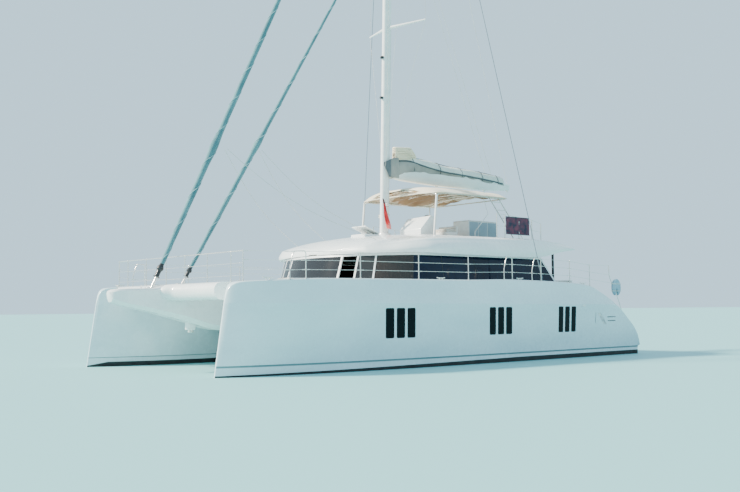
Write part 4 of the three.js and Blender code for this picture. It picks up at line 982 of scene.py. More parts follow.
@dataclass
class Bridge:
    """The bridgedeck, the nacelle, the crossbeams and the nets between the hulls."""

    hulls: Hulls
    half: float = 2.9997
    floor: float = 2.0
    foredeck: float = 2.6
    beam_aft: float = 8.05
    beam_nose: float = 8.62
    nacelle_rows: Rows = (
        # x, top, shoulder, bottom, half, keel
        (10.3, 2.35, 2.31, 2.25, 0.1, 0.06),
        (10.24, 2.4, 2.17, 2.06, 0.19, 0.09),
        (10.07, 2.44, 2.09, 2.0, 0.3, 0.15),
        (9.0, 2.47, 1.86, 1.763, 0.37, 0.2),
        (8.0, 2.6, 1.63, 1.508, 0.43, 0.23),
        (6.71, 2.6, 1.31, 1.18, 0.45, 0.26),
        (6.1, 2.6, 1.29, 1.152, 0.45, 0.27),
        (6.09, 2.56, 1.29, 1.151, 0.45, 0.27),
        (4.7, 2.2, 1.25, 1.082, 0.45, 0.3),
    )

    def deck(self) -> None:
        """Builds the bridgedeck with its cockpit, saloon floor and foredeck."""
        outline = [
            (6.1, self.foredeck), (6.1, 2.45), (5.78, 2.0), (5.3, 1.42), (5.05, 1.2), (4.7, 1.08), (-7.5, 1.08),
            (-7.85, 1.13), (-8.1, 1.3), (-8.1, 2.48), (-7.88, 2.48), (-7.88, self.floor), (2.3, self.floor),
            (2.3, self.foredeck),
        ]
        form = Form()
        form.slab([(x, -self.half, z) for x, z in outline], (0, 2 * self.half, 0))
        fit(form, "bridge_structure", [GELCOAT], ["bridgedeck"], sharp=26)
        grip, planks, boards, frames, panes = forms(5)
        for y0, y1 in ((-2.6, -0.6), (0.6, 2.6)):
            grip.box((3.4, y0, self.foredeck - 0.001), (5.95, y1, self.foredeck + 0.006), 0.003)
        planks.box((-7.86, -2.95, self.floor - 0.001), (-4.72, 2.95, self.floor + 0.006), 0.002)
        boards.box((-4.55, -2.9, self.floor - 0.001), (2.25, 2.9, self.floor + 0.005), 0.002)
        for y in (-0.95, 0.95):
            frames.box((3.5, y - 0.42, self.foredeck + 0.004), (4.3, y + 0.42, self.foredeck + 0.035), 0.01)
            panes.box((3.55, y - 0.37, self.foredeck + 0.03), (4.25, y + 0.37, self.foredeck + 0.042), 0.006)
        fit(grip, "foredeck_grip", [DECK_GRIP])
        fit(planks, "cockpit_planks", [TEAK])
        fit(boards, "saloon_floor_boards", [OAK])
        fit(frames, "foredeck_locker_frames", [STAINLESS])
        fit(panes, "foredeck_locker_lids", [GELCOAT])

    def nacelle_ring(self, x: float) -> list[Point]:
        """Gives one section of the nacelle with rounded corners."""
        top, shoulder, bottom, half, keel = Sections(self.nacelle_rows).at(x)
        soft = min(0.06, half * 0.3)
        side = [(0, top), (half - 2 * soft, top), (half - soft * 0.6, top - soft * 0.25), (half, top - soft),
                (half, mix(top, shoulder, 0.6)), (half, shoulder), (keel + 0.01, bottom + 0.006), (keel, bottom),
                (0, bottom)]
        port = [(x, y, z) for y, z in side]
        return [*port, *flipped(port[1:-1])]

    def nacelle(self) -> None:
        """Builds the nacelle on the centreline, with its eyes and the anchor gear under it."""
        form = Form()
        table = Sections(self.nacelle_rows)
        form.loft([self.nacelle_ring(x) for x in table.stations(0.3)])
        fit(form, "nacelle_moulding", [GELCOAT], ["centre_nacelle"], sharp=22)
        gear, cover = forms(2)
        cover.box((7.46, -0.12, 1.2), (7.72, 0.12, 1.44), 0.03)
        gear.box((7.5, -0.05, 1.12), (7.66, 0.05, 1.3), 0.015)
        gear.lathe([(0, -0.04), (0.06, -0.04), (0.05, 0), (0.06, 0.04), (0, 0.04)], (7.6, 0, 1.2), (0, 1, 0), 20)
        gear.rod((7.6, -0.075, 1.2), (7.6, 0.075, 1.2), 0.014)
        fit(cover, "anchor_roller_pad", [GELCOAT])
        fit(gear, "anchor_roller", [STAINLESS])
        caps = Form()
        for x in (9.25, 10.02):
            caps.rod((x, 0, 2.42), (x, 0, 2.5), 0.02)
            caps.hoop((x, 0, 2.52), (0, 1, 0), 0.028, 0.007, 20, 8)
        fit(caps, "nacelle_eyes", [STAINLESS])

    def crossbeams(self) -> None:
        """Builds the two halves of the front crossbeam."""
        aft, nose, top, low = self.beam_aft, self.beam_nose, 2.588, 2.08
        curve = eased([(nose - 0.32, top), (nose - 0.13, top - 0.035), (nose - 0.03, top - 0.13),
                       (nose, top - 0.24),
                       (nose - 0.035, top - 0.37), (nose - 0.13, low + 0.03), (nose - 0.27, low)], 4)
        outline = [(aft, top), *curve, (aft, low)]
        flares = ((0.36, 0.22), (0.45, 0.19), (0.53, 0.13), (0.61, 0.07), (0.68, 0.025), (0.76, 0), (self.half, 0))
        form = Form()
        form.loft([[(x + flare * (x - aft) / (nose - aft), y, z) for x, z in outline] for y, flare in flares])
        fit_twins(form, "crossbeam_moulding", [GELCOAT], "front_crossbeam")

    def net_edge(self, x: float) -> float:
        """Gives how far out the net reaches at a station."""
        inner = self.hulls.sections.at(x + self.hulls.rake * 0.3)[4]
        return self.hulls.centre - min(inner, 0.85) - 0.012

    def nets(self) -> None:
        """Stretches the netting between the nacelle, the crossbeam and the hulls, and laces its edges."""
        fore, aft, inner, level = self.beam_aft - 0.002, 6.102, 0.455, 2.511
        xs = even(aft, fore, 20)
        rows = []
        for i, x in enumerate(xs):
            dips = [sin(pi * i / 20) * sin(pi * j / 24) for j in range(25)]
            across = even(inner, self.net_edge(x), 24)
            rows.append([Vector((x, y, level - 0.02 * dip)) for y, dip in zip(across, dips)])
        width = float(np.mean([self.net_edge(x) for x in xs])) - inner
        for side, sign in SIDES:
            form, lacing = forms(2)
            shaped = [[Vector((p.x, p.y * sign, p.z)) for p in row] for row in rows]
            form.loft(shaped, closed=False, caps=False)
            net = fit(form, f"bow_netting_{side}", [NET], [f"bow_net_{side}"])
            ends = [row[-1] for row in shaped], [row[0] for row in reversed(shaped)]
            rim = [*shaped[0], *ends[0], *reversed(shaped[-1]), *ends[1]]
            path = [p for k, p in enumerate(rim) if k == 0 or (p - rim[k - 1]).length > 1e-4]
            lacing.sweep(path, 0.009, 6)
            edge = fit(lacing, f"bow_net_rope_{side}", [ROPE])

    def build(self) -> None:
        """Builds everything between the hulls."""
        self.deck()
        self.nacelle()
        self.crossbeams()
        self.nets()


# Deckhouse


@dataclass(frozen=True)
class Station:
    """A place round the deckhouse: an angle on its front's ellipse, or a share along a straight side."""

    angle: Optional[float] = None
    along: float = 0.0
    side: float = 1.0


@dataclass
class Deckhouse:
    """The saloon's frame, glass, curtains, aft bulkhead and door."""

    x: float = 0.634
    front: float = 2.5
    half: float = 3.6
    aft: float = -5.69
    aft_top: float = -4.84
    glass_low: float = 2.72
    glass_high: float = 3.56
    rake_front: float = 0.30
    rake_side: float = 0.07
    mullions: Triple = (1.39, 1.99, 2.56)
    bulkhead: Pair = (-4.7, -4.64)
    doorway: Quad = (-1.0, 0.15, 2.06, 3.9)
    clear_to: float = 1.35

    def spot(self, station: Station, z: float, inset: float) -> Vector:
        """Gives a point of the wall.

        Args:
            station: Where round the house.
            z: Height.
            inset: How far inside the outer face.

        Returns:
            The point.
        """
        rise = (z - self.glass_low) / (self.glass_high - self.glass_low)
        half = self.half - self.rake_side * rise - inset
        front = self.front - self.rake_front * rise - inset
        if station.angle is not None:
            angle = radians(station.angle)
            return Vector((self.x + front * cos(angle), half * sin(angle), z))
        lean = mix(self.aft, self.aft_top, (z - self.glass_low) / (3.68 - self.glass_low))
        return Vector((mix(self.x, lean, station.along), half * station.side, z))

    def mullion_angle(self, y: float) -> float:
        """Gives the ellipse's angle at a distance off the centreline."""
        return math.degrees(math.asin(y / self.half))

    def arc(self, start: float, end: float, step: float = 2.5) -> list[Station]:
        """Lists stations round the front from one angle to another."""
        return [Station(angle=a) for a in even(start, end, max(1, math.ceil(abs(end - start) / step)))]

    def run(self, side: float, start: float, end: float, count: int = 8) -> list[Station]:
        """Lists stations along one straight side."""
        return [Station(along=t, side=side) for t in even(start, end, count)]

    def band(
        self, form: Form, stations: Sequence[Station], low: float, high: float, outer: float, thick: float
    ) -> None:
        """Adds a strip of wall with eased edges through the stations."""
        ease = min(0.008, thick / 3, (high - low) / 3)
        section = ((low, ease), (low + ease, 0), (high - ease, 0), (high, ease), (high, thick), (low, thick))
        form.loft([[self.spot(s, z, outer + inset) for z, inset in section] for s in stations])

    def post(self, form: Form, angle: float, half: float, low: float, high: float) -> None:
        """Adds a mullion that follows the wall's rake."""
        self.band(form, [Station(angle=angle - half), Station(angle=angle + half)], low, high, -0.004, 0.07)

    def frame_pieces(self) -> None:
        """Builds the sill, the header, the mullions and the aft posts."""
        form = Form()
        whole = [*self.run(-1, 1, 0), *self.arc(-84, 84), *self.run(1, 0, 1)]
        self.band(form, whole, 2.56, self.glass_low, 0, 0.07)
        self.band(form, whole, 3.52, 3.6, 0, 0.07)
        for y in self.mullions:
            for side in (1, -1):
                self.post(form, side * self.mullion_angle(y), 0.55, 2.71, 3.55)
        for side in (1.0, -1.0):
            self.band(form, self.run(side, 0.985, 1, 2), 2.71, 3.55, 0, 0.07)
        fit(form, "saloon_frame_moulding", [GELCOAT], ["saloon_frame"])

    def panes(self) -> None:
        """Glazes the front and the sides, leaving the port inner pane open."""
        inner, outer, corner = [self.mullion_angle(y) for y in self.mullions]
        gap = 0.62
        rows = [
            (f"windscreen_{place}", self.arc(start + gap, end - gap), FRONT_GLASS)
            for place, start, end in (
                ("centre", -inner, inner),
                ("port", outer, corner),
                ("starboard_inner", -outer, -inner),
                ("starboard_outer", -corner, -outer),
            )
        ]
        for side, sign in SIDES:
            bend = [Station(angle=s.angle * sign) for s in self.arc(corner + gap, 84)]
            rows.append((f"side_glass_{side}", [*bend, *self.run(sign, 0, 0.985)], DARK_GLASS))
        for node, stations, finish in rows:
            form = Form()
            self.band(form, stations, self.glass_low + 0.002, 3.518, 0.008, 0.016)
            for face in form.bm.faces:
                face.material_index = int(finish is DARK_GLASS and face.calc_center_median().x > self.clear_to)
            fit(form, node + "_pane", [finish, CLEAR_GLASS], [node])
        seams = Form()
        for side in (1.0, -1.0):
            for along in (0.07, 0.34, 0.62, 0.86):
                self.band(seams, self.run(side, along, along + 0.004, 1), 2.73, 3.51, 0.0055, 0.008)
        fit(seams, "side_glass_seams", [SEAL])

    def curtains(self) -> None:
        """Hangs gathered curtains behind the forward side glass."""
        top, low, fold = 3.46, 2.76, 0.035
        for side, sign in SIDES:
            path = [*[Station(angle=s.angle * sign) for s in self.arc(50, 84, 0.5)], *self.run(sign, 0, 0.12, 40)]
            rings = []
            for k, station in enumerate(path):
                sway = fold * (sin(k * 0.9) + 0.25 * sin(k * 2.3))
                insets = [(z, 0.16 + sway * mix(0.6, 1.0, (top - z) / (top - low))) for z in (top, 3.1, low)]
                rings.append([self.spot(station, z, inset) for z, inset in insets])
            form = Form()
            form.loft(rings, closed=False, caps=False)
            cloth = fit(form, f"saloon_curtain_{side}", [CURTAIN], sharp=180)

    def bulkhead_pieces(self) -> None:
        """Builds the aft bulkhead with its windows and the door's rail."""
        x0, x1 = self.bulkhead
        form = Form()
        breadth, inner = 3.14, 2.9997
        y0, y1, low, high = self.doorway
        floor, top = 2.0003, 4.0297
        form.box((x0, -inner, floor), (x1, y0, 2.78), 0.006)
        form.box((x0, y1, floor), (x1, inner, 2.78), 0.006)
        form.box((x0, y0, floor), (x1, y1, low), 0.004)
        form.box((x0, -breadth, high), (x1, breadth, top), 0.006)
        for a, b in ((-breadth, -2.88), (-1.12, y0), (y1, 0.27), (2.88, breadth)):
            form.box((x0, a, 2.706), (x1, b, high), 0.006)
        form.box((x1 - 0.001, y0 - 0.06, floor), (x1 + 0.07, 1.36, floor + 0.04), 0.004)
        fit(form, "aft_bulkhead_moulding", [GELCOAT], ["aft_bulkhead"])
        glass = Form()
        middle = (x0 + x1) / 2
        for a, b in ((0.27, 2.88), (-2.88, -1.12)):
            glass.box((middle - 0.006, a, 2.78), (middle + 0.006, b, 3.9))
        fit(glass, "bulkhead_windows", [DARK_GLASS])

    def door(self) -> None:
        """Builds the sliding door: a dark pane in a slim frame with a bar handle."""
        x, thick, rail = self.bulkhead[1] + 0.008, 0.038, 0.06
        y0, y1, z0, z1 = self.doorway[0] - 0.04, self.doorway[1] + 0.04, 2.0406, 3.94
        rim, pane, grip = forms(3)
        for low, high in (((y0, z0), (y0 + rail, z1)), ((y1 - rail, z0), (y1, z1)),
                          ((y0 + rail, z0), (y1 - rail, z0 + rail)), ((y0 + rail, z1 - rail), (y1 - rail, z1))):
            rim.box((x, *low), (x + thick, *high), 0.004)
        lap = rail - 0.004
        pane.box((x + 0.013, y0 + lap, z0 + lap), (x + 0.025, y1 - lap, z1 - lap))
        bow = ((0, 2.9), (0.03, 2.92), (0.034, 3.1), (0.03, 3.28), (0, 3.3))
        grip.sweep(eased([(x + thick + out, y0 + 0.03, z) for out, z in bow], 4), 0.009)
        fit(rim, "saloon_door_frame", [BLACK_TRIM], ["saloon_door"], body="door_leaf")
        fit(pane, "saloon_door_glass", [DARK_GLASS], body="door_leaf")
        fit(grip, "saloon_door_handle", [STAINLESS], body="door_leaf")

    def build(self) -> None:
        """Builds the deckhouse."""
        self.frame_pieces()
        self.panes()
        self.curtains()
        self.bulkhead_pieces()
        self.door()


# Roof and flybridge


@dataclass
class Roof:
    """The roof with the flybridge's floor, its hatch, rails, posts and panel."""

    rows: Rows = (
        # x, half, rim, under, edge, crown, slope
        (2.845, 0.26, 3.61, 3.64, 3.68, 3.7, 0.06),
        (2.78, 0.96, 3.605, 3.63, 3.73, 3.8, 0.12),
        (2.6, 1.81, 3.6, 3.615, 3.8, 3.92, 0.2),
        (2.2, 2.79, 3.595, 3.601, 3.89, 4.08, 0.3),
        (1.6, 3.56, 3.59, 3.601, 3.99, 4.23, 0.4),
        (0.9, 3.955, 3.57, 3.601, 4.08, 4.33, 0.47),
        (-0.6, 4.0, 3.55, 3.601, 4.17, 4.42, 0.5),
        (-3.2, 4.0, 3.545, 3.601, 4.21, 4.42, 0.48),
        (-4.4, 4.0, 3.58, 3.64, 4.23, 4.4, 0.46),
        (-5.45, 3.96, 3.77, 3.83, 4.19, 4.33, 0.43),
        (-6.28, 3.88, 3.88, 3.9, 4.08, 4.18, 0.4),
        (-6.8, 3.6, 3.92, 3.93, 4.01, 4.09, 0.38),
        (-7.05, 3.0, 3.935, 3.94, 3.985, 4.03, 0.36),
    )
    ceiling: float = 4.03
    floor: float = 4.16
    deck_x: Pair = (-5.35, -0.75)
    deck_y: float = 2.95
    hatch_x: Pair = (0.58, 1.18)
    hatch_y: Pair = (0.15, 0.79)
    coaming: float = 0.05
    coaming_top: float = 4.375
    hinge: Pair = (0.508, 4.398)
    lid_open: float = 20.0
    rail_posts: tuple[Pair, ...] = (
        (-2.82, 5.11), (-3.24, 5.1), (-4.0, 5.04), (-4.73, 4.98), (-5.24, 4.87)
    )

    def ring(self, table: Sections, x: float) -> list[Point]:
        """Gives one section of the roof, from the port rim over the crown and back underneath."""
        half, rim, under, edge, crown, slope = table.at(x)
        controls = [
            (half, rim), (half + 0.022, rim + 0.35 * (edge - rim)),
            (half - 0.35 * slope, edge - 0.22 * (edge - rim)), (half - slope, edge + 0.1 * (crown - edge)),
            (0.55 * (half - slope), mix(edge, crown, 0.75)), (0, crown),
        ]
        over = [(x, y, z) for y, z in eased(controls, 5)]
        below = [(x, half - 0.02, rim - 0.001), (x, half - min(0.06, half * 0.2), under), (x, 0.5 * half, under)]
        return [*over, *flipped(over[:-1]), *[(x, -y, z) for _, y, z in below], (x, 0, under), *reversed(below)]

    def height(self, x: float, y: float) -> float:
        """Gives the roof's outer height at a place."""
        ys, zs = zip(*sorted((p[1], p[2]) for p in self.ring(Sections(self.rows), x)[:26]))
        return float(np.interp(abs(y), ys, zs))

    def shell(self) -> None:
        """Builds the roof and cuts its ceiling, the flybridge's floor and the hatchway."""
        table = Sections(self.rows)
        form = Form()
        form.loft([self.ring(table, x) for x in table.stations(0.16)])
        (x0, x1), (y0, y1), wall = self.hatch_x, self.hatch_y, self.coaming
        roof = form.object("roof_moulding", [GELCOAT], 26)
        room, bow, deck, hole = forms(4)
        room.box((-4.74, -3.15, 3.0), (1.5, 3.15, self.ceiling), 0.03)
        bow.box((1.44, -1.9, 3.0), (2.2, 1.9, 3.8), 0.03)
        deck.box((self.deck_x[0], -self.deck_y, self.floor), (self.deck_x[1], self.deck_y, 5.0), 0.05)
        hole.box((x0, y0, 3.0), (x1, y1, 5.0), 0.04)
        carve(roof, [f.object("cut", [GELCOAT]) for f in (room, bow, deck, hole)], 26)
        fit(roof, "roof_moulding", [], ["roof"])
        curb, hinges, cut = forms(3)
        curb.box((x0 - wall, y0 - wall, 4.2), (x1 + wall, y1 + wall, self.coaming_top), 0.02)
        cut.box((x0, y0, 3.9), (x1, y1, 5.0), 0.02)
        ring = curb.object("hatch_coaming", [GELCOAT])
        carve(ring, [cut.object("cut", [GELCOAT])])
        fit(ring, "hatch_coaming", [])
        x, z = self.hinge
        for a, b, inward in ((0.18, 0.2, 0.25), (0.74, 0.76, 0.69)):
            hinges.box((x - 0.016, a, 4.315), (x + 0.023, b, z + 0.016), 0.005)
            hinges.rod((x, (a + b) / 2, z), (x, inward, z), 0.008, sides=20)
        fit(hinges, "hatch_hinge_lugs", [STAINLESS])

    def lid(self) -> None:
        """Builds the open hatch lid: a white rim round a raised panel, with its barrel."""
        (x0, x1), (y0, y1), wall = self.hatch_x, self.hatch_y, self.coaming
        low, thick = self.coaming_top + 0.006, 0.034
        x, z = self.hinge
        turn = Matrix.Rotation(radians(-self.lid_open), 4, "Y")
        rim, panel, barrel = forms(3)
        start = x0 - wall + 0.02
        rim.box((start, y0 - wall, low), (x1 + wall, y1 + wall, low + thick), 0.012)
        panel.box((start + 0.08, y0, low + thick - 0.003), (x1, y1, low + thick + 0.004), 0.003)
        barrel.rod((x, 0.205, z), (x, 0.735, z), 0.017, sides=20)
        barrel.box((x, y0 + 0.06, low + 0.006), (start + 0.02, y1 - 0.06, low + thick - 0.006), 0.004)
        for form in (rim, panel, barrel):
            bmesh.ops.rotate(form.bm, cent=(x, 0, z), matrix=turn, verts=form.bm.verts)
        fit(rim, "roof_hatch_lid", [GELCOAT], ["roof_hatch"], "hatch_lid")
        fit(panel, "roof_hatch_panel", [GELCOAT], body="hatch_lid")
        fit(barrel, "roof_hatch_barrel", [STAINLESS], body="hatch_lid")

    def rails(self) -> None:
        """Builds the flybridge's side rails, the plain panel and the black posts under the overhang."""
        form = Form()
        y = 3.3
        flange = [(0, 0), (0.045, 0), (0.045, 0.008), (0.024, 0.014), (0, 0.014)]
        for x, high in self.rail_posts:
            foot = self.height(x, y)
            form.rod((x, y, foot - 0.01), (x, y, high), 0.02)
            form.lathe(flange, (x, y, foot - 0.002), UP, 20)
        for down in (0, 0.45):
            form.sweep([(x, y, mix(h, self.floor, down) - 0.01) for x, h in self.rail_posts], 0.008, 8)
        fit_twins(form, "flybridge_rail", [STAINLESS], "fly_rail")
        panel, hem = forms(2)
        x0, x1, z0, z1 = -4.56, -3.27, 4.4, 5.02
        rows = []
        for i, x in enumerate(even(x0, x1, 12)):
            rows.append([(x, 3.322 + 0.006 * sin(i * 1.1 + k * 5), z) for k, z in enumerate(even(z0, z1, 8))])
        panel.loft(rows, closed=False, caps=False)
        cloth = fit(panel, "rail_panel_cloth", [DARK_CLOTH], ["rail_panel"], sharp=180)
        for z in (z0, z1):
            hem.box((x0, 3.314, z - 0.012), (x1, 3.334, z + 0.012), 0.004)
        trim = fit(hem, "rail_panel_hems", [WEBBING])
        posts = Form()
        posts.rod((-5.916, 3.287, 2.545), (-5.52, 3.6, 3.86), 0.045, sides=20)
        fit_twins(posts, "roof_prop", [BLACK_TRIM], "roof_post")

    def surfaces(self) -> None:
        """Lays the flybridge's floor planks and sets the lights under the roof's overhang."""
        planks, lights = forms(2)
        planks.box((self.deck_x[0] + 0.03, -self.deck_y + 0.03, self.floor - 0.001),
                   (self.deck_x[1] - 0.03, self.deck_y - 0.03, self.floor + 0.005), 0.002)
        fit(planks, "flybridge_planks", [TEAK])
        lens = [(0, 0), (0.05, 0), (0.05, -0.008), (0.03, -0.012), (0, -0.012)]
        for x in (-6.2, -5.5):
            for y in (-2.2, -0.8, 0.8, 2.2):
                lights.lathe(lens, (x, y, float(Sections(self.rows).at(x)[2])), UP, 20)
        fit(lights, "cockpit_downlights", [STAINLESS])

    def build(self) -> None:
        """Builds the roof and what stands on it."""
        self.shell()
        self.lid()
        self.rails()
        self.surfaces()


# Rig


@dataclass
class Rig:
    """The mast, the boom with its stowed sail, the rolled headsails, the stays and the shrouds."""

    mast_x: float = -0.43
    foot: float = 4.47
    lean: float = 0.0313
    long: float = 0.35
    wide: float = 0.25
    spreaders: tuple[Triple, ...] = ((12.1, 1.52, 0.52), (19.6, 1.3, 0.45))
    gooseneck: Pair = (-0.835, 6.64)
    boom_rows: Rows = (
        # x, top, half at the top, belly, half at the belly
        (-0.9, 6.76, 0.07, 6.54, 0.04),
        (-1.3, 6.9, 0.19, 6.5, 0.07),
        (-3.6, 6.96, 0.26, 6.44, 0.09),
        (-6.0, 6.88, 0.19, 6.48, 0.07),
        (-7.29, 6.8, 0.09, 6.57, 0.05),
    )
    bag_rows: Rows = (
        # x, low, top, half
        (-1.02, 6.6, 7.29, 0.14),
        (-1.25, 6.66, 7.37, 0.21),
        (-1.6, 6.735, 7.44, 0.25),
        (-2.2, 6.73, 7.41, 0.275),
        (-3.7, 6.755, 7.27, 0.29),
        (-5.6, 6.695, 7.19, 0.235),
        (-6.9, 6.64, 7.08, 0.13),
    )
    # Share of the bag's height above which its cloth is painted paler as sunlit; straps run along this edge.
    lit_top_edge: tuple[Pair, ...] = ((-1.0, 0.86), (-1.7, 0.66), (-2.6, 0.47), (-3.6, 0.36), (-6.8, 0.34))
    forestay: Quad = (8.914, 2.473, 22.6, 0.092)
    inner_stay: Quad = (7.884, 2.6, 16.65, 0.074)
    shroud_foot: Triple = (-3.418, 4.8, 2.68)
    shroud_top: float = 28.4

    def mast_at(self, z: float) -> float:
        """Gives the mast's middle at a height."""
        return self.mast_x - self.lean * (z - self.foot)

    def mast(self) -> None:
        """Builds the mast, its spreaders, collar, gooseneck, winches, track and lights."""
        form, spreaders, fittings, lights, track = forms(5)
        rings = []
        for z in (4.45, 5.5, 8.0, 12.0, 18.0, 22.6, 25.6, 28.6):
            size = 1.0 if z <= 22.6 else mix(1.0, 0.7, (z - 22.6) / 6.0)
            ring = []
            for angle in angles(36):
                along, across = [math.copysign(abs(v) ** 0.85, v) for v in (cos(angle), sin(angle))]
                ring.append((self.mast_at(z) + size * self.long / 2 * along, size * self.wide / 2 * across, z))
            rings.append(ring)
        form.loft(rings)
        profile = [(0, 0), (0.3, 0), (0.295, 0.03), (0.25, 0.05), (0.22, 0.12), (0, 0.12)]
        form.lathe(profile, (self.mast_x, 0, 4.395), UP, 40)
        fit(form, "mast_tube", [SPAR], ["mast"])
        for z, half, sweep in self.spreaders:
            for side in (1, -1):
                tip = (self.mast_at(z) - sweep, side * half, z + 0.09)
                spreaders.rod((self.mast_at(z), side * 0.06, z), tip, 0.06, 0.028, 16)
        fit(spreaders, "mast_spreaders", [SPAR])
        x, z = self.gooseneck
        for sign in (1, -1):
            face = z + sign * 0.0603
            fittings.rod((x, 0, face), (x, 0, face + sign * 0.02), 0.052, sides=32)
            low, high = sorted((face, face + sign * 0.02))
            fittings.box((x, -0.052, low), (self.mast_at(z) - 0.1, 0.052, high), 0.003)
        fittings.rod((x, 0, z - 0.085), (x, 0, z + 0.085), 0.0215, sides=28)
        fittings.lathe([(0, 0), (0.03, 0), (0.03, 0.012), (0, 0.012)], (x, 0, z + 0.083), UP, 6)
        drum = [(0, 0), (0.085, 0), (0.07, 0.03), (0.055, 0.07), (0.075, 0.11), (0.06, 0.13), (0, 0.135)]
        for level, side in ((5.15, 1), (5.15, -1), (5.55, 1)):
            fittings.lathe(drum, (self.mast_at(level) + 0.02, side * 0.12, level), (0, side, 0), 28)
        fit(fittings, "mast_winches_and_gooseneck", [STAINLESS])
        for height, drop in ((10.98, 0.05), (9.48, 0.045)):
            front = self.mast_at(height) + self.long / 2
            lights.box((front - 0.02, -0.05, height - drop), (front + 0.09, 0.05, height + drop), 0.02)
            lights.ball((front + 0.08, 0, height), 0.05, (0.6, 1, 1))
        fit(lights, "mast_lights", [BLACK_TRIM])
        halves = [(z, self.long / 2 * (1 if z < 22 else 0.85)) for z in (6.9, 12, 18, 22, 27.5)]
        track.sweep([(self.mast_at(z) - half - 0.004, 0, z) for z, half in halves], 0.014, 6)
        fit(track, "mast_track", [STAINLESS])

    def halyards(self) -> None:
        """Runs taut halyards down the mast and hangs the red flag beside them."""
        lines, staff, cloth = forms(3)
        for y, ahead, top in ((0.15, 0.06, 14.0), (-0.15, 0.04, 14.0), (0.14, -0.09, 12.0), (-0.14, -0.12, 20.0)):
            lines.sweep([(self.mast_at(z) + ahead, y, z) for z in (5.2, 7.0, 10.0, top)], 0.006, 6)
        fit(lines, "mast_halyards", [ROPE])
        high, low, columns = 5.75, 4.68, 23
        top = (self.mast_at(12.1) - 0.1, 0.42, 12.1)
        staff.sweep([top, (-0.2, 0.2, high), (-0.38, 0.2, low), (-0.4, 0.2, 4.42)], 0.005, 6)
        line = fit(staff, "flag_halyard", [ROPE])
        rows = []
        for i in range(15):
            x, z, ripple = mix(-0.2, -0.38, i / 14), mix(high, low, i / 14), 0.01 * sin(0.6 * i)
            spread, depth = mix(0.04, 0.19, min(1.0, i / 12)), 0.045 * mix(0.6, 1.1, i / 14)
            row = []
            for j, t in enumerate(even(0, 1, columns - 1)):
                row.append((x + depth * sin(j * 1.55 + 0.2 * i), 0.21 + spread * t + ripple, z - 0.05 * t))
            rows.append(row)
        for face in cloth.loft(rows, closed=False, caps=False):
            share = (high - face.calc_center_median().z) / (high - low)
            face.material_index = 1 if share < 0.16 else 2 if share > 0.86 else 0
        flag = fit(cloth, "red_flag", [RED_CLOTH, FLAG_TOP, FLAG_END], sharp=180)

    def boom(self) -> None:
        """Builds the boom with its knuckle, end fitting and reefing blocks."""
        table = Sections(self.boom_rows)
        form, gear = forms(2)
        rings = []
        for x in table.stations(0.25):
            top, half_top, belly, half_belly = table.at(x)
            side = eased([(0, top), (half_top * 0.86, top), (half_top, top - 0.04),
                          (half_top * 0.85, mix(top, belly, 0.55)), (half_belly * 1.15, belly + 0.015),
                          (0, belly)], 4)
            port = [(x, y, z) for y, z in side]
            rings.append([*port, *flipped(port[1:-1])])
        form.loft(rings)
        fit(form, "boom_moulding", [SPAR], ["boom"], BOOM_BODY)
        x, z = self.gooseneck
        gear.lathe([(0.024, -0.06), (0.05, -0.06), (0.05, 0.06), (0.024, 0.06), (0.024, -0.06)], (x, 0, z), UP, 32)
        gear.box((x - 0.105, -0.035, z - 0.055), (x - 0.035, 0.035, z + 0.055), 0.006)
        for at, size in ((-7.29, 0.05), (-5.9, 0.04), (-3.2, 0.04)):
            belly = float(table.at(max(at, -7.28))[2])
            gear.box((at, -0.03, belly - 0.03), (at + 0.12, 0.03, belly + 0.03), 0.01)
            gear.hoop((at + 0.06, 0, belly - 0.05), (0, 1, 0), size * 0.8, 0.008, 20, 8)
        fit(gear, "boom_fittings", [STAINLESS], body=BOOM_BODY)

    def bag_half(self, x: float, up: float) -> float:
        """Gives the bag's half breadth at a station, at a share of its height: full below and drawn in above."""
        half = float(Sections(self.bag_rows).at(x)[2])
        return half * (4 * up * (1 - up)) ** (0.25 if up < 0.5 else 0.5) * mix(1.0, 0.72, max(0, up - 0.5) * 2)

    def bag(self) -> None:
        """Builds the sail bag, a sagging shell whose paler top is painted sunlight, with its straps and its collar.
        """
        table, line = Sections(self.bag_rows), Sections(self.lit_top_edge)
        form, straps = forms(2)
        rings = []
        for x in table.stations(0.06):
            low, top, _ = table.at(x)
            ring = []
            for k, angle in enumerate(angles(36)):
                up = (1 - cos(angle)) / 2
                wide = math.copysign(self.bag_half(x, up), sin(angle))
                crease = noise.noise(Vector((x * 2.1, up * 2.4, math.copysign(1, wide) * 3)))
                pleat = 0.35 * sin(x * 9 + 5 * up) * noise.noise(Vector((x * 0.9, 4.0, up)))
                puff = 1 + 0.16 * (crease + pleat) * sin(angle) ** 2
                sag = 0.03 * noise.noise(Vector((x * 1.3, 7.0, 0))) * up
                ring.append((x, wide * puff, mix(low, top, up) + sag - (0.02 * up if 0 < k else 0)))
            rings.append(ring)
        for face in form.loft(rings):
            middle = face.calc_center_median()
            low, top, _ = table.at(middle.x)
            # Faces above the edge take the paler slot: painted sunlight on the bag's top.
            face.material_index = int(middle.z > mix(low, top, float(line.at(middle.x)[0])))
        sack = fit(form, "sail_bag_cloth", [BAG_CLOTH, BAG_SUNLIT_TOP], ["sail_bag"], BOOM_BODY, sharp=180)

        def on_bag(x: float, up: float, side: float, proud: float, lift: float = 0.0) -> Point:
            """Gives a place on the bag's cloth."""
            low, top, _ = table.at(x)
            return (x, math.copysign(self.bag_half(x, up) + proud, side), mix(low, top, up) + lift)

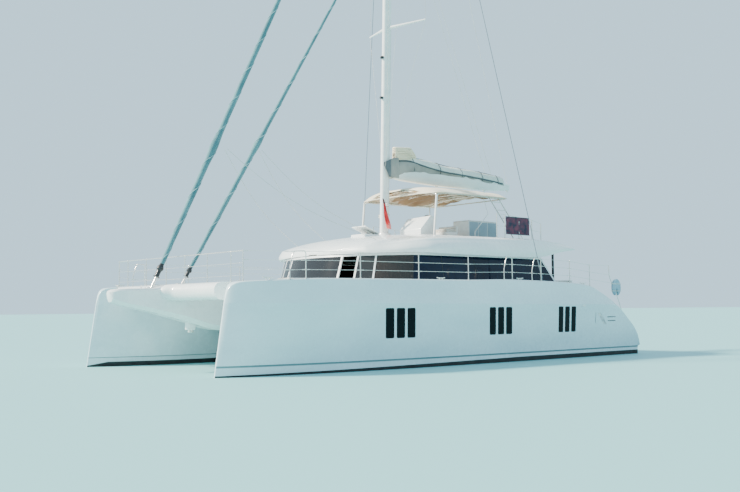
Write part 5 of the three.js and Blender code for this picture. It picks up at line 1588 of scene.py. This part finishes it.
        length = [float(x) for x in np.linspace(-1.1, -6.8, 60)]
        for side in (1, -1):
            straps.sweep([on_bag(x, float(line.at(x)[0]), side, 0.014) for x in length], 0.028, 8)
        bends = [radians(mix(50, 310, k / 18)) for k in range(19)]
        for x in (-1.75, -3.1, -4.3, -5.5, -6.5):
            straps.sweep([on_bag(x, (1 - cos(a)) / 2, sin(a), 0.008, 0.004) for a in bends], 0.012, 6)
        seam = [(x, 0.01 * sin(x * 7), float(table.at(x)[1]) - 0.012) for x in np.linspace(-1.05, -6.8, 60)]
        straps.sweep(seam, 0.015, 6)
        fit(straps, "sail_bag_straps", [WEBBING], body=BOOM_BODY)
        self.collar()

    def collar(self) -> None:
        """Wraps the bag's front cloth forward round the mast."""
        form = Form()
        for side in (1.0, -1.0):
            start = [(-0.3, 0.17), (-0.42, 0.2)] if side > 0 else [(-0.5, 0.19)]
            rows = []
            for i, (x, y) in enumerate(eased([*start, (-0.62, 0.205), (-0.84, 0.19), (-1.06, 0.15)], 5)):
                high, low = mix(7.08, 7.3, min(1.0, (-0.3 - x) / 0.5)), mix(6.98, 6.56, min(1.0, (-0.3 - x) / 0.22))
                folds = [0.014 * sin(i * 1.3) * sin(pi * j / 12) for j in range(13)]
                rows.append([(x, side * (y + fold), z) for fold, z in zip(folds, even(high, low, 12))])
            for face in form.loft(rows, closed=False, caps=False):
                face.material_index = int(face.calc_center_median().x < -0.64)
        area = sum(face.calc_area() for face in form.bm.faces)
        cloth = form.object("sail_bag_collar", [COLLAR_CLOTH, BAG_CLOTH], 180)
        thicken(cloth)
        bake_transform(cloth)

    def stack(self) -> None:
        """Flakes the mainsail's head on top of the bag beside the mast."""
        form = Form()
        around = [float(a) for a in np.linspace(0, 2 * pi, 17)[:-1]]
        for k, share in enumerate(even(0, 1, 8)):
            length, full = 1.08 * (1 - 0.22 * share ** 3), math.sqrt(1 - 0.45 * share)
            rows = []
            for t in even(0, 1, 14):
                x = -0.95 - length * t
                half = mix(0.1, 0.2, sin(pi * t) ** 0.5) * full + 0.02 * noise.noise(Vector((x * 4, k * 1.7, 0)))
                z = mix(7.26, 7.67, share) + 0.1 * t * share - 0.05 * t ** 6 + 0.012 * sin(5 * t + k)
                rows.append([(x, half * cos(a), z + 0.04 * sin(a)) for a in around])
            form.loft(rows)
        # The flakes' bright cream is partly painted sunlight.
        flakes = fit(form, "mainsail_flakes", [SUNLIT_SAILCLOTH], ["mainsail_stack"], BOOM_BODY, sharp=180)

    def rolled(self, node: str, stay: Quad, bulge: float) -> None:
        """Builds a rolled headsail on its stay, with its strip edge and its furler's drum.

        Args:
            node: The frame's nodes are rolled_node and node_furler.
            stay: Foot x, foot z, the height where it meets the mast, and the roll's radius.
            bulge: Share of the stay where the clew swells the roll.
        """
        foot_x, foot_z, top_z, radius = stay
        start = Vector((foot_x, 0, foot_z))
        run = Vector((self.mast_at(top_z) + self.long / 2 - 0.02, 0, top_z)) - start
        length, way, side = run.length, run.normalized(), Vector((0, 1, 0))
        other = way.cross(side)

        def at(t: float, angle: float = 0.0, out: float = 0.0) -> Vector:
            """Gives a place beside the stay, at a share of its length."""
            return start + run * t + (side * cos(angle) + other * sin(angle)) * out

        def girth(t: float) -> float:
            """Gives the roll's radius, thinner toward its ends and swollen at the clew."""
            taper = mix(0.75, 1.0, min(1, (t - 0.036) / 0.12)) if t < 0.3 else mix(1.0, 0.4, (t - 0.3) / 0.655)
            return radius * taper * (1 + 0.45 * math.exp(-(((t - bulge) * length / 0.35) ** 2)))

        wire, roll, strip, drum, black = forms(5)
        wire.rod(at(0), at(1.0), 0.012, sides=12)
        rings = []
        for t in even(0.036, 0.955, 160):
            laps = [(a, 1.05 - 0.1 * ((a - t * length * 5.5) % (2 * pi)) / (2 * pi)) for a in angles(20)]
            rings.append([at(t, a, girth(t) * lap) for a, lap in laps])
        roll.loft(rings)
        strip.sweep([at(t, t * length * 5.5, girth(t) * 1.03) for t in even(0.042, 0.94, 400)], 0.01, 6)
        fit(roll, f"{node}_roll", [TEAL_CLOTH], [f"rolled_{node}"], sharp=40)
        fit(strip, f"{node}_roll_edge", [PALE_TEAL])
        fit(wire, f"{node}_stay", [STAINLESS])
        waist = ((0.75, length * 0.009), (1.15, length * 0.0115), (1.15, length * 0.014), (0.8, length * 0.017))
        shape = ((0, 0), (1.1, 0), (1.15, 0.01), (0.75, 0.03), *waist, (0.45, length * 0.024), (0, length * 0.024))
        black.lathe([(radius * r, h) for r, h in shape], at(0.0165), way, 32)
        drum.rod(at(-0.005), at(0.0175), radius * 0.42, sides=18)
        drum.box((foot_x - 0.19, -0.08, foot_z - 0.03), (foot_x + 0.19, 0.08, foot_z + 0.02), 0.012)
        fit(black, f"{node}_furler_drum", [BLACK_TRIM], [f"{node}_furler"])
        fit(drum, f"{node}_furler_foot", [STAINLESS])

    def sheets(self) -> None:
        """Leads the headsails' sheets aft to the roof, with a fall of up to 0.4 m."""
        lines = Form()
        for (x, z), (aft, y, low) in (((6.3, 6.9), (1.75, 2.2, 4.02)), ((4.99, 7.01), (1.15, 1.4, 4.24))):
            falls = [(t, 0.5 * sin(pi * t) * (1 - 0.4 * t)) for t in even(0, 1, 12)]
            for side in (1, -1):
                path = [(mix(x, aft, t), side * mix(0.08, y, t), mix(z, low, t) - fall) for t, fall in falls]
                lines.sweep(path, 0.007, 6)
        fit(lines, "headsail_sheets", [ROPE])

    def shrouds(self) -> None:
        """Builds the shrouds with their turnbuckles, and the wires over the spreaders."""
        form = Form()
        foot = Vector(self.shroud_foot)
        head = Vector((self.mast_at(self.shroud_top), 0.06, self.shroud_top))
        form.rod(foot.lerp(head, -0.0005), head, 0.011, sides=12)
        near, far = foot.lerp(head, 0.004), foot.lerp(head, 0.028)
        form.rod(near, far, 0.024, sides=14)
        form.rod(near, near.lerp(far, 0.25), 0.03, 0.024, 14)
        form.rod(near.lerp(far, 0.75), far, 0.024, 0.03, 14)
        x, y, z = foot
        form.box((x - 0.09, y - 0.035, z - 0.02), (x + 0.09, y + 0.035, z + 0.012), 0.006)
        fit_twins(form, "shroud_wire", [WIRE], "shroud")
        diamonds = Form()
        for side in (1, -1):
            chain = [(self.mast_at(6.9), side * 0.12, 6.9)]
            chain += [(self.mast_at(z) - sweep, side * half, z + 0.09) for z, half, sweep in self.spreaders]
            chain += [(self.mast_at(27.8), side * 0.08, 27.8)]
            for a, b in zip(chain[:-1], chain[1:]):
                diamonds.rod(a, b, 0.007, sides=8)
        fit(diamonds, "diamond_wires", [STAINLESS])

    def lazy_lines(self) -> None:
        """Runs taut straight lines from the mast to the boom and its bag."""
        for name, top, high_y, low in (
            ("topping_line", 27.6, 0, (-7.22, 0, 6.83)),
            ("lazy_line_port", 19.0, 0.1, (-6.1, 0.14, 7.12)),
            ("lazy_line_starboard", 19.0, -0.1, (-6.1, -0.14, 7.12)),
        ):
            high = (self.mast_at(top) - 0.15, high_y, top)
            form = Form()
            form.sweep([[mix(a, b, t) for a, b in zip(high, low)] for t in even(0, 1, 40)], 0.007, 6)
            piece = form.object(name, [ROPE])
            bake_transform(piece)
            log.info("%s: blended", name)

    def build(self) -> None:
        """Builds the rig."""
        self.mast()
        self.halyards()
        self.boom()
        self.bag()
        self.stack()
        self.rolled("genoa", self.forestay, 0.222)
        self.rolled("staysail", self.inner_stay, 0.325)
        self.sheets()
        self.shrouds()
        self.lazy_lines()


# Rails


@dataclass
class Rails:
    """The guard rails along the hulls and the bow rail on the crossbeam."""

    hulls: Hulls
    tall: float = 0.77
    post: float = 0.0145
    wire: float = 0.0055
    inset: float = 0.07
    stations: tuple[float, ...] = (7.16, 6.67, 4.83, 2.56, 0.38, -1.33, -1.74, -2.76, -3.24, -4.84, -6.02)
    gates: tuple[Pair, ...] = ((7.16, 6.67), (-1.33, -1.74), (-2.76, -3.24))
    levels: tuple[float, ...] = (1.0, 0.68, 0.34)
    bow_x: float = 8.11
    bow_posts: tuple[float, ...] = (3.67, 3.06, 1.82, 0.56)
    bow_tall: float = 0.85
    bow_levels: tuple[float, ...] = (1.0, 0.6, 0.2)
    bow_z: float = 2.588

    def foot(self, x: float) -> Vector:
        """Gives where a stanchion stands on the port deck."""
        y, z = self.hulls.deck_at(x)
        return Vector((x, y - self.inset, z))

    def socket(self, form: Form, spot: Point) -> None:
        """Adds a stanchion's base."""
        profile = [(0, 0), (0.038, 0), (0.038, 0.006), (0.022, 0.012), (0.019, 0.05), (0, 0.05)]
        form.lathe(profile, spot, UP, 18)

    def posts(self, form: Form, spots: Sequence[Point], tall: float) -> None:
        """Stands posts on their sockets."""
        for spot in spots:
            foot = Vector(spot)
            form.rod(foot - UP * 0.004, foot + UP * tall, self.post)
            form.ball(foot + UP * tall, self.post * 1.05)
            self.socket(form, foot - UP * 0.002)

    def sides(self) -> None:
        """Builds the stanchions, gates and lifelines of both sides."""
        form = Form()
        paired = [x for gate in self.gates for x in gate]
        self.posts(form, [self.foot(x) for x in self.stations if x not in paired], self.tall)
        for gate in self.gates:
            for x in gate:
                self.socket(form, self.foot(x) - UP * 0.002)
            a, b = [self.foot(x) for x in gate]
            heights = [(a, 0, 0), (a, 0, 0.34), (a, -0.1, self.tall - 0.1), (a, -0.16, self.tall),
                       (b, 0.05, self.tall), (b, 0, self.tall - 0.06), (b, 0, 0)]
            form.sweep([end + Vector((along, 0, rise)) for end, along, rise in heights], self.post, 14)
        ahead = Vector((self.bow_x - 0.004, self.bow_posts[0] + 0.004, self.bow_z + self.bow_tall - self.tall))
        spots = [ahead, *[self.foot(x) for x in self.stations]]
        for level in self.levels:
            wires = [spot + UP * (self.tall * level - 0.01) for spot in spots]
            for a, b in zip(wires[:-1], wires[1:]):
                form.rod(a, b, self.wire, sides=8)
                for end, way in ((a, (b - a).normalized()), (b, (a - b).normalized())):
                    form.rod(end + way * 0.03, end + way * 0.13, self.wire * 1.8, sides=8)
        fit_twins(form, "guard_rail_tubes", [STAINLESS], "guard_rail")

    def bow(self) -> None:
        """Builds the rail that stands on the crossbeam."""
        form = Form()
        places = [(self.bow_x, y, self.bow_z) for y in (*self.bow_posts, *[-y for y in reversed(self.bow_posts)])]
        self.posts(form, places, self.bow_tall)
        for level in self.bow_levels:
            rise = UP * (self.bow_tall * level - 0.01)
            size = self.post * 0.85 if level == 1.0 else self.wire
            for a, b in zip(places[:-1], places[1:]):
                form.rod(Vector(a) + rise, Vector(b) + rise, size, sides=10)
        fit(form, "bow_rail_tubes", [STAINLESS], ["bow_rail"])

    def lifebuoy(self) -> None:
        """Bends the stern rails and hangs the horseshoe lifebuoy's pad on the port one."""
        rail, buoy, strap = forms(3)
        tube = eased([(-7.95, 4.87, 1.58), (-7.6, 4.87, 2.3), (-7.25, 4.86, 2.85), (-7.2, 4.85, 3.3)], 5)
        rail.sweep(tube, 0.014, 12)
        ahead = self.foot(self.stations[-1])
        for level in self.levels:
            start = ahead + Vector((0, 0, self.tall * level - 0.01))
            near = tube[-1] if level == 1.0 else min(tube, key=lambda p: abs(p[2] - mix(2.3, 3.3, level)))
            rail.rod(start, near, self.wire, sides=8)
        fit_twins(rail, "stern_rail", [STAINLESS])
        turns = [radians(mix(-72, 252, k / 32)) for k in range(33)]
        outline = [(-7.6 + 0.25 * cos(a), 4.835, 2.49 + 0.315 * sin(a)) for a in turns]
        buoy.slab([*outline, (-7.63, 4.835, 2.44), (-7.57, 4.835, 2.44)], (0, 0.09, 0), 0.022, 3)
        pad = fit(buoy, "lifebuoy_cover", [PAD_BLUE])
        for z in (2.36, 2.62):
            strap.box((-7.85, 4.828, z - 0.014), (-7.35, 4.93, z + 0.014), 0.008)
        fit(strap, "lifebuoy_bands", [ROPE])

    def build(self) -> None:
        """Builds the rails."""
        self.sides()
        self.bow()
        self.lifebuoy()


# Flybridge and cockpit


@dataclass
class Upholstery:
    """Padded seats: each cushion swells by cloth simulation and is laid along its bench."""

    voxel: float = 0.022
    swell: float = 0.022
    frames: int = 16
    shapes: dict[Triple, bpy.types.Mesh] = field(default_factory=dict)

    def puffed(self, size: Triple) -> bpy.types.Mesh:
        """Gives a swollen cushion of a size, centred on its base.

        Args:
            size: Its length, breadth and thickness.

        Returns:
            The cushion's mesh.
        """
        if size in self.shapes:
            return self.shapes[size]
        form = Form()
        half = [s / 2 - 0.012 for s in size[:2]]
        form.box((-half[0], -half[1], 0.004), (*half, size[2] - 0.012), 0.03, 3)
        piece = form.object("cushion_blank", [UPHOLSTERY], 180)
        remesh = piece.modifiers.new("remesh", "REMESH")
        remesh.mode, remesh.voxel_size = "VOXEL", self.voxel
        settle(piece)
        rest = np.array([v.co for v in piece.data.vertices], float)
        cloth = piece.modifiers.new("cloth", "CLOTH")
        cloth.settings.use_pressure = True
        cloth.settings.uniform_pressure_force = 4.0
        cloth.settings.effector_weights.gravity = 0.0
        scene = bpy.context.scene
        for step in range(1, self.frames + 1):
            scene.frame_set(step)
        settle(piece)
        scene.frame_set(1)
        way = np.array([v.co for v in piece.data.vertices], float) - rest
        far = np.linalg.norm(way, axis=1, keepdims=True)
        spots = rest + way * np.minimum(1.0, self.swell / np.maximum(far, 1e-9))
        crown = 0.012 * np.cos(np.pi * rest[:, 0] / size[0]) * np.cos(np.pi * rest[:, 1] / size[1])
        spots[:, 2] += np.where(rest[:, 2] > size[2] / 2, np.maximum(crown, 0), 0)
        spots[:, 2] = np.maximum(spots[:, 2], 0)
        piece.data.vertices.foreach_set("co", spots.ravel())
        smooth = piece.modifiers.new("soft", "SUBSURF")
        smooth.levels = smooth.render_levels = 1
        settle(piece)
        self.shapes[size] = piece.data
        bpy.data.objects.remove(piece)
        return self.shapes[size]

    def lay(self, name: str, size: Triple, spots: Sequence[Matrix]) -> None:
        """Lays copies of a cushion with their piping and makes them one padded piece.

        Args:
            name: The piece's name.
            size: Length, breadth and thickness of each.
            spots: Where each goes, from its base's middle.
        """
        form = Form()
        outline = rounded(size[0] - 0.03, size[1] - 0.03, 0.04, 4)
        for place in spots:
            copy = self.puffed(size).copy()
            copy.transform(place)
            form.bm.from_mesh(copy)
            bpy.data.meshes.remove(copy)
        for place in spots:
            for z in (0.022, size[2] - 0.022):
                form.sweep([place @ Vector((u, v, z)) for u, v in [*outline, outline[0]]], 0.004, 6)
        piece = fit(form, name, [UPHOLSTERY], sharp=180)


@dataclass
class Benches:
    """The seats' bases with their cushions."""

    upholstery: Upholstery = field(default_factory=Upholstery)
    pad: float = 0.11

    def bench(
        self, node: str, x: Pair, y: Pair, z: float, seat: float, back: float, count: int, deep: float
    ) -> None:
        """Builds a base with seat and back cushions along Y.

        Args:
            node: The frame's node it stands for.
            x: Its reach in X; the back stands at the aft end.
            y: Its reach in Y.
            z: The floor.
            seat: The seat's height with its cushion.
            back: The back's height.
            count: How many cushions share the length.
            deep: The back's thickness.
        """
        base = Form()
        level, rest_x = z + seat - self.pad, x[0] + deep * 0.35
        base.box((x[0], y[0], z), (x[1], y[1], level), 0.02)
        base.box((x[0], y[0], z + 0.01), (rest_x, y[1], z + back - 0.03), 0.015)
        fit(base, node + "_base", [GELCOAT], [node])
        wide = (y[1] - y[0]) / count
        size = (round(x[1] - rest_x - 0.01, 3), round(wide - 0.012, 3), self.pad)
        back_size = (round(back - seat - 0.01, 3), size[1], round(deep * 0.62, 3))
        lean = Matrix.Rotation(radians(90), 4, "Y")
        middles = [y[0] + wide * (k + 0.5) for k in range(count)]
        seats = [Matrix.Translation((rest_x + 0.005 + size[0] / 2, middle, level)) for middle in middles]
        above = z + seat + 0.005 + back_size[0] / 2
        backs = [Matrix.Translation((x[0] + deep * 0.36, middle, above)) @ lean for middle in middles]
        self.upholstery.lay(node + "_seat_pads", size, seats)
        self.upholstery.lay(node + "_back_pads", back_size, backs)

    def build(self) -> None:
        """Builds every seat."""
        fly, sole = 4.1603, 2.0003
        self.bench("helm_seat", (-2.7, -2.15), (0.6, 1.5), fly, 0.5, 0.64, 1, 0.12)
        self.bench("fly_settee", (-5.25, -3.3), (-1.88, -1.08), fly, 0.43, 0.9, 1, 0.14)
        self.bench("cockpit_settee", (-7.86, -7.05), (-2.7, 2.7), sole, 0.43, 0.85, 5, 0.18)
        self.bench("saloon_settee", (-3.9, -1.2), (1.9, 2.9), sole, 0.43, 0.9, 1, 0.18)


@dataclass
class Helm:
    """The console, its wheel, the bar and the cockpit's and saloon's furniture."""

    wheel_at: Triple = (-1.59, 1.05, 4.82)

    def console(self) -> None:
        """Builds the console with its raked front, screens and levers."""
        form, screens, levers = forms(3)
        z = 4.1603
        outline = [(-1.5, z), (-1.5, 4.97), (-1.44, 5.055), (-1.31, 5.09), (-1.25, 5.088),
                   (-0.76, 4.6), (-0.75, 4.56), (-0.75, z)]
        form.slab([(x, 0.52, h) for x, h in outline], (0, 1.06, 0), 0.018, 3)
        for vert in form.bm.verts:
            lift = max(0, min(1.0, (vert.co.z - 4.5) / 0.58)) * (1.58 - vert.co.y) / 1.06
            vert.co.z -= 0.07 * lift
            vert.co.x += 0.17 * lift if vert.co.x > -1.46 else 0.0
        fit(form, "helm_console_moulding", [GELCOAT], ["helm_console"])
        for y0, y1 in ((0.62, 0.86), (1.22, 1.48)):
            screens.box((-1.508, y0, 4.62), (-1.496, y1, 4.86), 0.004)
        fit(screens, "helm_screens", [SCREEN])
        levers.box((-1.56, 0.66, 4.48), (-1.498, 0.78, 4.56), 0.012)
        for y in (0.7, 0.745):
            levers.rod((-1.55, y, 4.55), (-1.6, y, 4.66), 0.007)
            levers.ball((-1.6, y, 4.67), 0.016)
        fit(levers, "engine_levers", [BLACK_TRIM])

    def wheel(self) -> None:
        """Builds the steering wheel with its rim, spokes, hub and shaft."""
        centre = Vector(self.wheel_at)
        rim, metal = forms(2)
        rim.hoop(centre, (1, 0, 0), 0.33, 0.0175, 64, 14)
        for k in range(3):
            angle = 2 * pi * k / 3 + pi / 2
            tip = centre + Vector((0, 0.318 * cos(angle), 0.318 * sin(angle)))
            metal.rod(centre, tip, 0.013, 0.01)
        hub = [(0, -0.028), (0.035, -0.03), (0.052, -0.015), (0.054, 0.02), (0.04, 0.03), (0, 0.03)]
        metal.lathe(hub, centre, (1, 0, 0), 28)
        metal.rod(centre + Vector((0.02, 0, 0)), (-1.5006, centre.y, centre.z), 0.029, sides=28)
        fit(rim, "steering_wheel_rim", [BLACK_TRIM], ["steering_wheel"], "helm_wheel")
        fit(metal, "steering_wheel_spokes", [STAINLESS], body="helm_wheel")

    def bar(self) -> None:
        """Builds the flybridge's bar with its doors and top."""
        form, doors, tops = forms(3)
        x0, x1, y0, y1 = -4.85, -3.29, 0.7, 1.5
        form.box((x0, y0, 4.1603), (x1, y1, 5.0), 0.02)
        tops.box((x0, y0, 5.0), (x1, y1, 5.04), 0.015)
        for k in range(3):
            x = x0 + 0.035 + 0.505 * k
            doors.box((x, y1 - 0.004, 4.22), (x + 0.48, y1 + 0.008, 4.98), 0.005)
            doors.box((x, y0 - 0.008, 4.22), (x + 0.48, y0 + 0.004, 4.98), 0.005)
        fit(form, "flybridge_bar_body", [GELCOAT], ["fly_bar"])
        fit(tops, "flybridge_bar_top", [GELCOAT])
        # The doors' blue-grey is partly painted shade.
        fit(doors, "flybridge_bar_doors", [BAR_PANEL_SHADED])

    def table(self) -> None:
        """Builds the cockpit table with its round corners and the saloon's counter."""
        top, leg = forms(2)
        outline = [(-6.3 + u, 1.3 + v, 2.7) for u, v in rounded(0.8, 2.0, 0.09)]
        top.slab(outline, (0, 0, 0.04), 0.008)
        pillar = [(0, 0), (0.11, 0), (0.11, 0.012), (0.055, 0.03), (0.045, 0.68), (0.1, 0.69), (0.1, 0.7), (0, 0.7)]
        leg.lathe(pillar, (-6.3, 1.3, 2.0003), UP, 32)
        fit(top, "cockpit_table_boards", [TEAK], ["cockpit_table"])
        fit(leg, "cockpit_table_leg", [STAINLESS])
        counter, worktop = forms(2)
        counter.box((-4.1, -2.9, 2.0003), (-0.6, -2.25, 2.88), 0.01)
        for k in range(5):
            x = -4.05 + 0.69 * k
            counter.box((x, -2.256, 2.12), (x + 0.64, -2.24, 2.82), 0.005)
        worktop.box((-4.1, -2.9, 2.88), (-0.6, -2.24, 2.92), 0.008)
        fit(counter, "galley_counter_doors", [OAK], ["galley_counter"])
        fit(worktop, "galley_worktop", [GELCOAT])

    def build(self) -> None:
        """Builds the furniture."""
        self.console()
        self.wheel()
        self.bar()
        self.table()


@dataclass
class Canopy:
    """The flybridge's cloth canopy on its bent tubes, with the ladder that braces it."""

    roof: Roof
    rows: Rows = (
        # x, half, edge, crown
        (-1.04, 1.3, 5.9, 6.09),
        (-1.18, 1.95, 5.88, 6.16),
        (-1.5, 2.08, 5.88, 6.2),
        (-3.0, 2.12, 5.89, 6.23),
        (-4.75, 2.08, 5.89, 6.2),
        (-5.0, 1.6, 5.9, 6.13),
    )
    hoops: tuple[float, ...] = (-1.19, -2.05, -3.0, -3.85, -4.7)
    rims: tuple[Pair, ...] = ((-1.19, 5.795), (-1.5, 5.87), (-3.0, 5.885), (-4.7, 5.88))
    rim_y: float = 1.95

    def drop(self, x: float, s: float) -> float:
        """Gives how far the lining hangs below the cloth, in slanting folds that deepen to starboard."""
        first = abs(((x * 1.7 + s * 0.9) % 1.0) * 2 - 1)
        second = abs(((x * 0.6 - s * 2.3) % 1.0) * 2 - 1)
        far = max(0, -s) * math.exp(-(((x + 3.5) / 0.7) ** 2))
        return (0.06 * first + 0.04 * second + 0.24 * far * (0.5 + 0.5 * first)) * min(1.0, 5 * (1 - abs(s)))

    def cloth(self) -> None:
        """Builds the canopy's cloth, pulled between the hoops, and its lining with deep folds, the deepest painted
        brown as painted shade.
        """
        table = Sections(self.rows)
        rows, under = [], []
        across = [sin(radians(a)) for a in even(-90, 90, 48)]
        for x in even(self.rows[0][0], self.rows[-1][0], 96):
            half, edge, crown = table.at(x)
            near = min(abs(x - h) for h in self.hoops)
            pull = 0.022 * (1 - cos(min(1.0, near / 0.42) * pi)) / 2
            row, low = [], []
            for s in across:
                lift = 1 - s ** 4
                z = mix(edge, crown, lift) - pull * lift + 0.012 * noise.noise(Vector((x * 2.3, s * 3.1, 1.0)))
                row.append((x, s * half, z))
                low.append((x, s * (half - 0.02), z - 0.02 - self.drop(x, s)))
            rows.append(row)
            under.append(low)
        form, lining, hem = forms(3)
        form.loft(rows, closed=False, caps=False)
        for face in lining.loft(under, closed=False, caps=False):
            middle = face.calc_center_median()
            # Faces where the lining hangs deepest take the brown slot: painted shade in the folds.
            face.material_index = int(self.drop(middle.x, middle.y / float(table.at(middle.x)[0])) > 0.054)
        for shape, name, nodes in ((form, "canopy_cloth", ["canopy"]), (lining, "canopy_lining", [])):
            surface = sum(f.calc_area() for f in shape.bm.faces)
            piece = fit(shape, name, [CANVAS, FOLD_SHADE_CLOTH], nodes, sharp=50)
            thicken(piece)
        port = [(x, y, z - 0.004) for x, y, z in (row[-1] for row in rows)]
        hem.sweep([*port, *flipped(port), port[0]], 0.022, 8)
        fit(hem, "canopy_hem", [CANVAS])

    def frame_pieces(self) -> None:
        """Builds the front legs, the side tubes, the hoops, the ladder and the brace."""
        form, legs, rungs = forms(3)
        y, floor = self.rim_y, self.roof.floor
        base = [(0, 0), (0.07, 0), (0.07, 0.01), (0.045, 0.018), (0, 0.018)]
        for side in (1, -1):
            legs.rod((-1.02, side * y, floor), (-1.19, side * y, 5.795), 0.04, sides=24)
            legs.lathe(base, (-1.02, side * y, floor), UP, 28)
            form.sweep([(x, side * y, z) for x, z in eased(self.rims, 5)], 0.028, 14)
            form.ball((self.rims[0][0], side * y, self.rims[0][1]), 0.042)
        form.rod((-4.7, -y, floor), (-4.7, -y, 5.88), 0.028)
        form.lathe(base, (-4.7, -y, floor), UP, 24)
        table, side_tubes = Sections(self.rows), Sections(self.rims)
        for x in self.hoops:
            half, edge, crown = table.at(x)
            bend = mix(edge, crown, 0.7) - 0.09
            bow = [(x, y, float(side_tubes.at(x)[0])), (x, 0.7 * half, bend), (x, 0.35 * half, crown - 0.1)]
            form.sweep(eased([*bow, (x, 0, crown - 0.09), *flipped(bow)], 5), 0.02, 12)
        across = y + 0.025
        for foot, head in ((-5.48, -3.9), (-6.03, -4.42)):
            form.rod((foot, across, floor), (head, across, 5.88), 0.02)
            form.lathe([(r * 0.8, h) for r, h in base], (foot, across, floor), UP, 20)
        for level in (4.56, 4.85, 5.14, 5.43, 5.72):
            share = (level - 4.15) / 1.73
            rungs.rod((mix(-5.48, -3.9, share), across, level), (mix(-6.03, -4.42, share), across, level), 0.016)
        fit(form, "canopy_hoops", [STAINLESS], ["canopy_frame"])
        fit(legs, "canopy_legs", [SPAR])
        fit(rungs, "canopy_ladder_rungs", [SPAR])
        brace = Form()
        brace.rod((-2.87, 2.2, 4.53), (-3.59, 2.2, 5.22), 0.012)
        brace.rod((-2.87, 2.2, floor), (-2.87, 2.2, 4.54), 0.012)
        brace.rod((-3.59, 2.2, 5.22), (-3.59, across, 5.86), 0.01)
        fit(brace, "canopy_brace", [STAINLESS])

    def build(self) -> None:
        """Builds the canopy."""
        self.cloth()
        self.frame_pieces()


# Studio


@dataclass(frozen=True)
class Studio:
    """The floor, the soft lights and the camera of the photograph."""

    eye: Triple = (23.03, 26.05, 1.78)
    yaw: float = -131.16
    pitch: float = 3.72
    roll: float = -0.59
    lens: float = 47.22
    sun_from: Triple = (0.62, -0.52, 0.58)

    def camera(self) -> None:
        """Sets the camera where the photograph was taken."""
        yaw, pitch, roll = (radians(a) for a in (self.yaw, self.pitch, self.roll))
        ahead = Vector((cos(pitch) * cos(yaw), cos(pitch) * sin(yaw), sin(pitch)))
        level = ahead.cross(UP).normalized()
        upright = level.cross(ahead)
        right = level * cos(roll) + upright * sin(roll)
        up = right.cross(ahead)
        data = bpy.data.cameras.new("photograph_camera")
        data.lens, data.sensor_width, data.clip_end = self.lens, 36.0, 2000.0
        camera = bpy.data.objects.new("photograph_camera", data)
        axes = Matrix((right, up, -ahead)).transposed().to_4x4()
        camera.matrix_world = Matrix.Translation(self.eye) @ axes
        bpy.context.scene.collection.objects.link(camera)
        bpy.context.scene.camera = camera

    def floor(self) -> None:
        """Lays the plain pale floor at the waterline."""
        form = Form()
        bmesh.ops.create_grid(form.bm, x_segments=1, y_segments=1, size=900.0)
        floor = form.object("studio_floor", [])
        material = bpy.data.materials.new("pale_floor")
        material.use_nodes = True
        shader = material.node_tree.nodes["Principled BSDF"]
        shader.inputs["Base Color"].default_value = linear((138, 196, 198))
        shader.inputs["Roughness"].default_value = 0.55
        floor.data.materials.append(material)

    def lights(self) -> None:
        """Hangs a soft sun under a pale sky."""
        world = bpy.data.worlds.new("pale_sky")
        bpy.context.scene.world = world
        world.use_nodes = True
        sky = world.node_tree.nodes["Background"]
        sky.inputs["Color"].default_value = (0.58, 0.84, 1.0, 1.0)
        sky.inputs["Strength"].default_value = 1.35
        sun = bpy.data.lights.new("soft_sun", "SUN")
        sun.energy, sun.angle, sun.color = 11.5, radians(6), (1.0, 0.92, 0.78)
        lamp = bpy.data.objects.new("soft_sun", sun)
        lamp.rotation_euler = Vector(self.sun_from).to_track_quat("Z", "Y").to_euler()
        bpy.context.scene.collection.objects.link(lamp)

    def build(self) -> None:
        """Sets up the studio."""
        self.camera()
        self.floor()
        self.lights()


def main() -> None:
    """Builds the catamaran's looks in order."""
    logging.basicConfig(level=logging.INFO, format="%(message)s")
    Studio().build()
    hulls = Hulls()
    roof = Roof()
    hulls.build()
    Bridge(hulls).build()
    Deckhouse().build()
    roof.build()
    Rig().build()
    Rails(hulls).build()
    Helm().build()
    Benches().build()
    Canopy(roof).build()


if __name__ == "__main__":
    main()
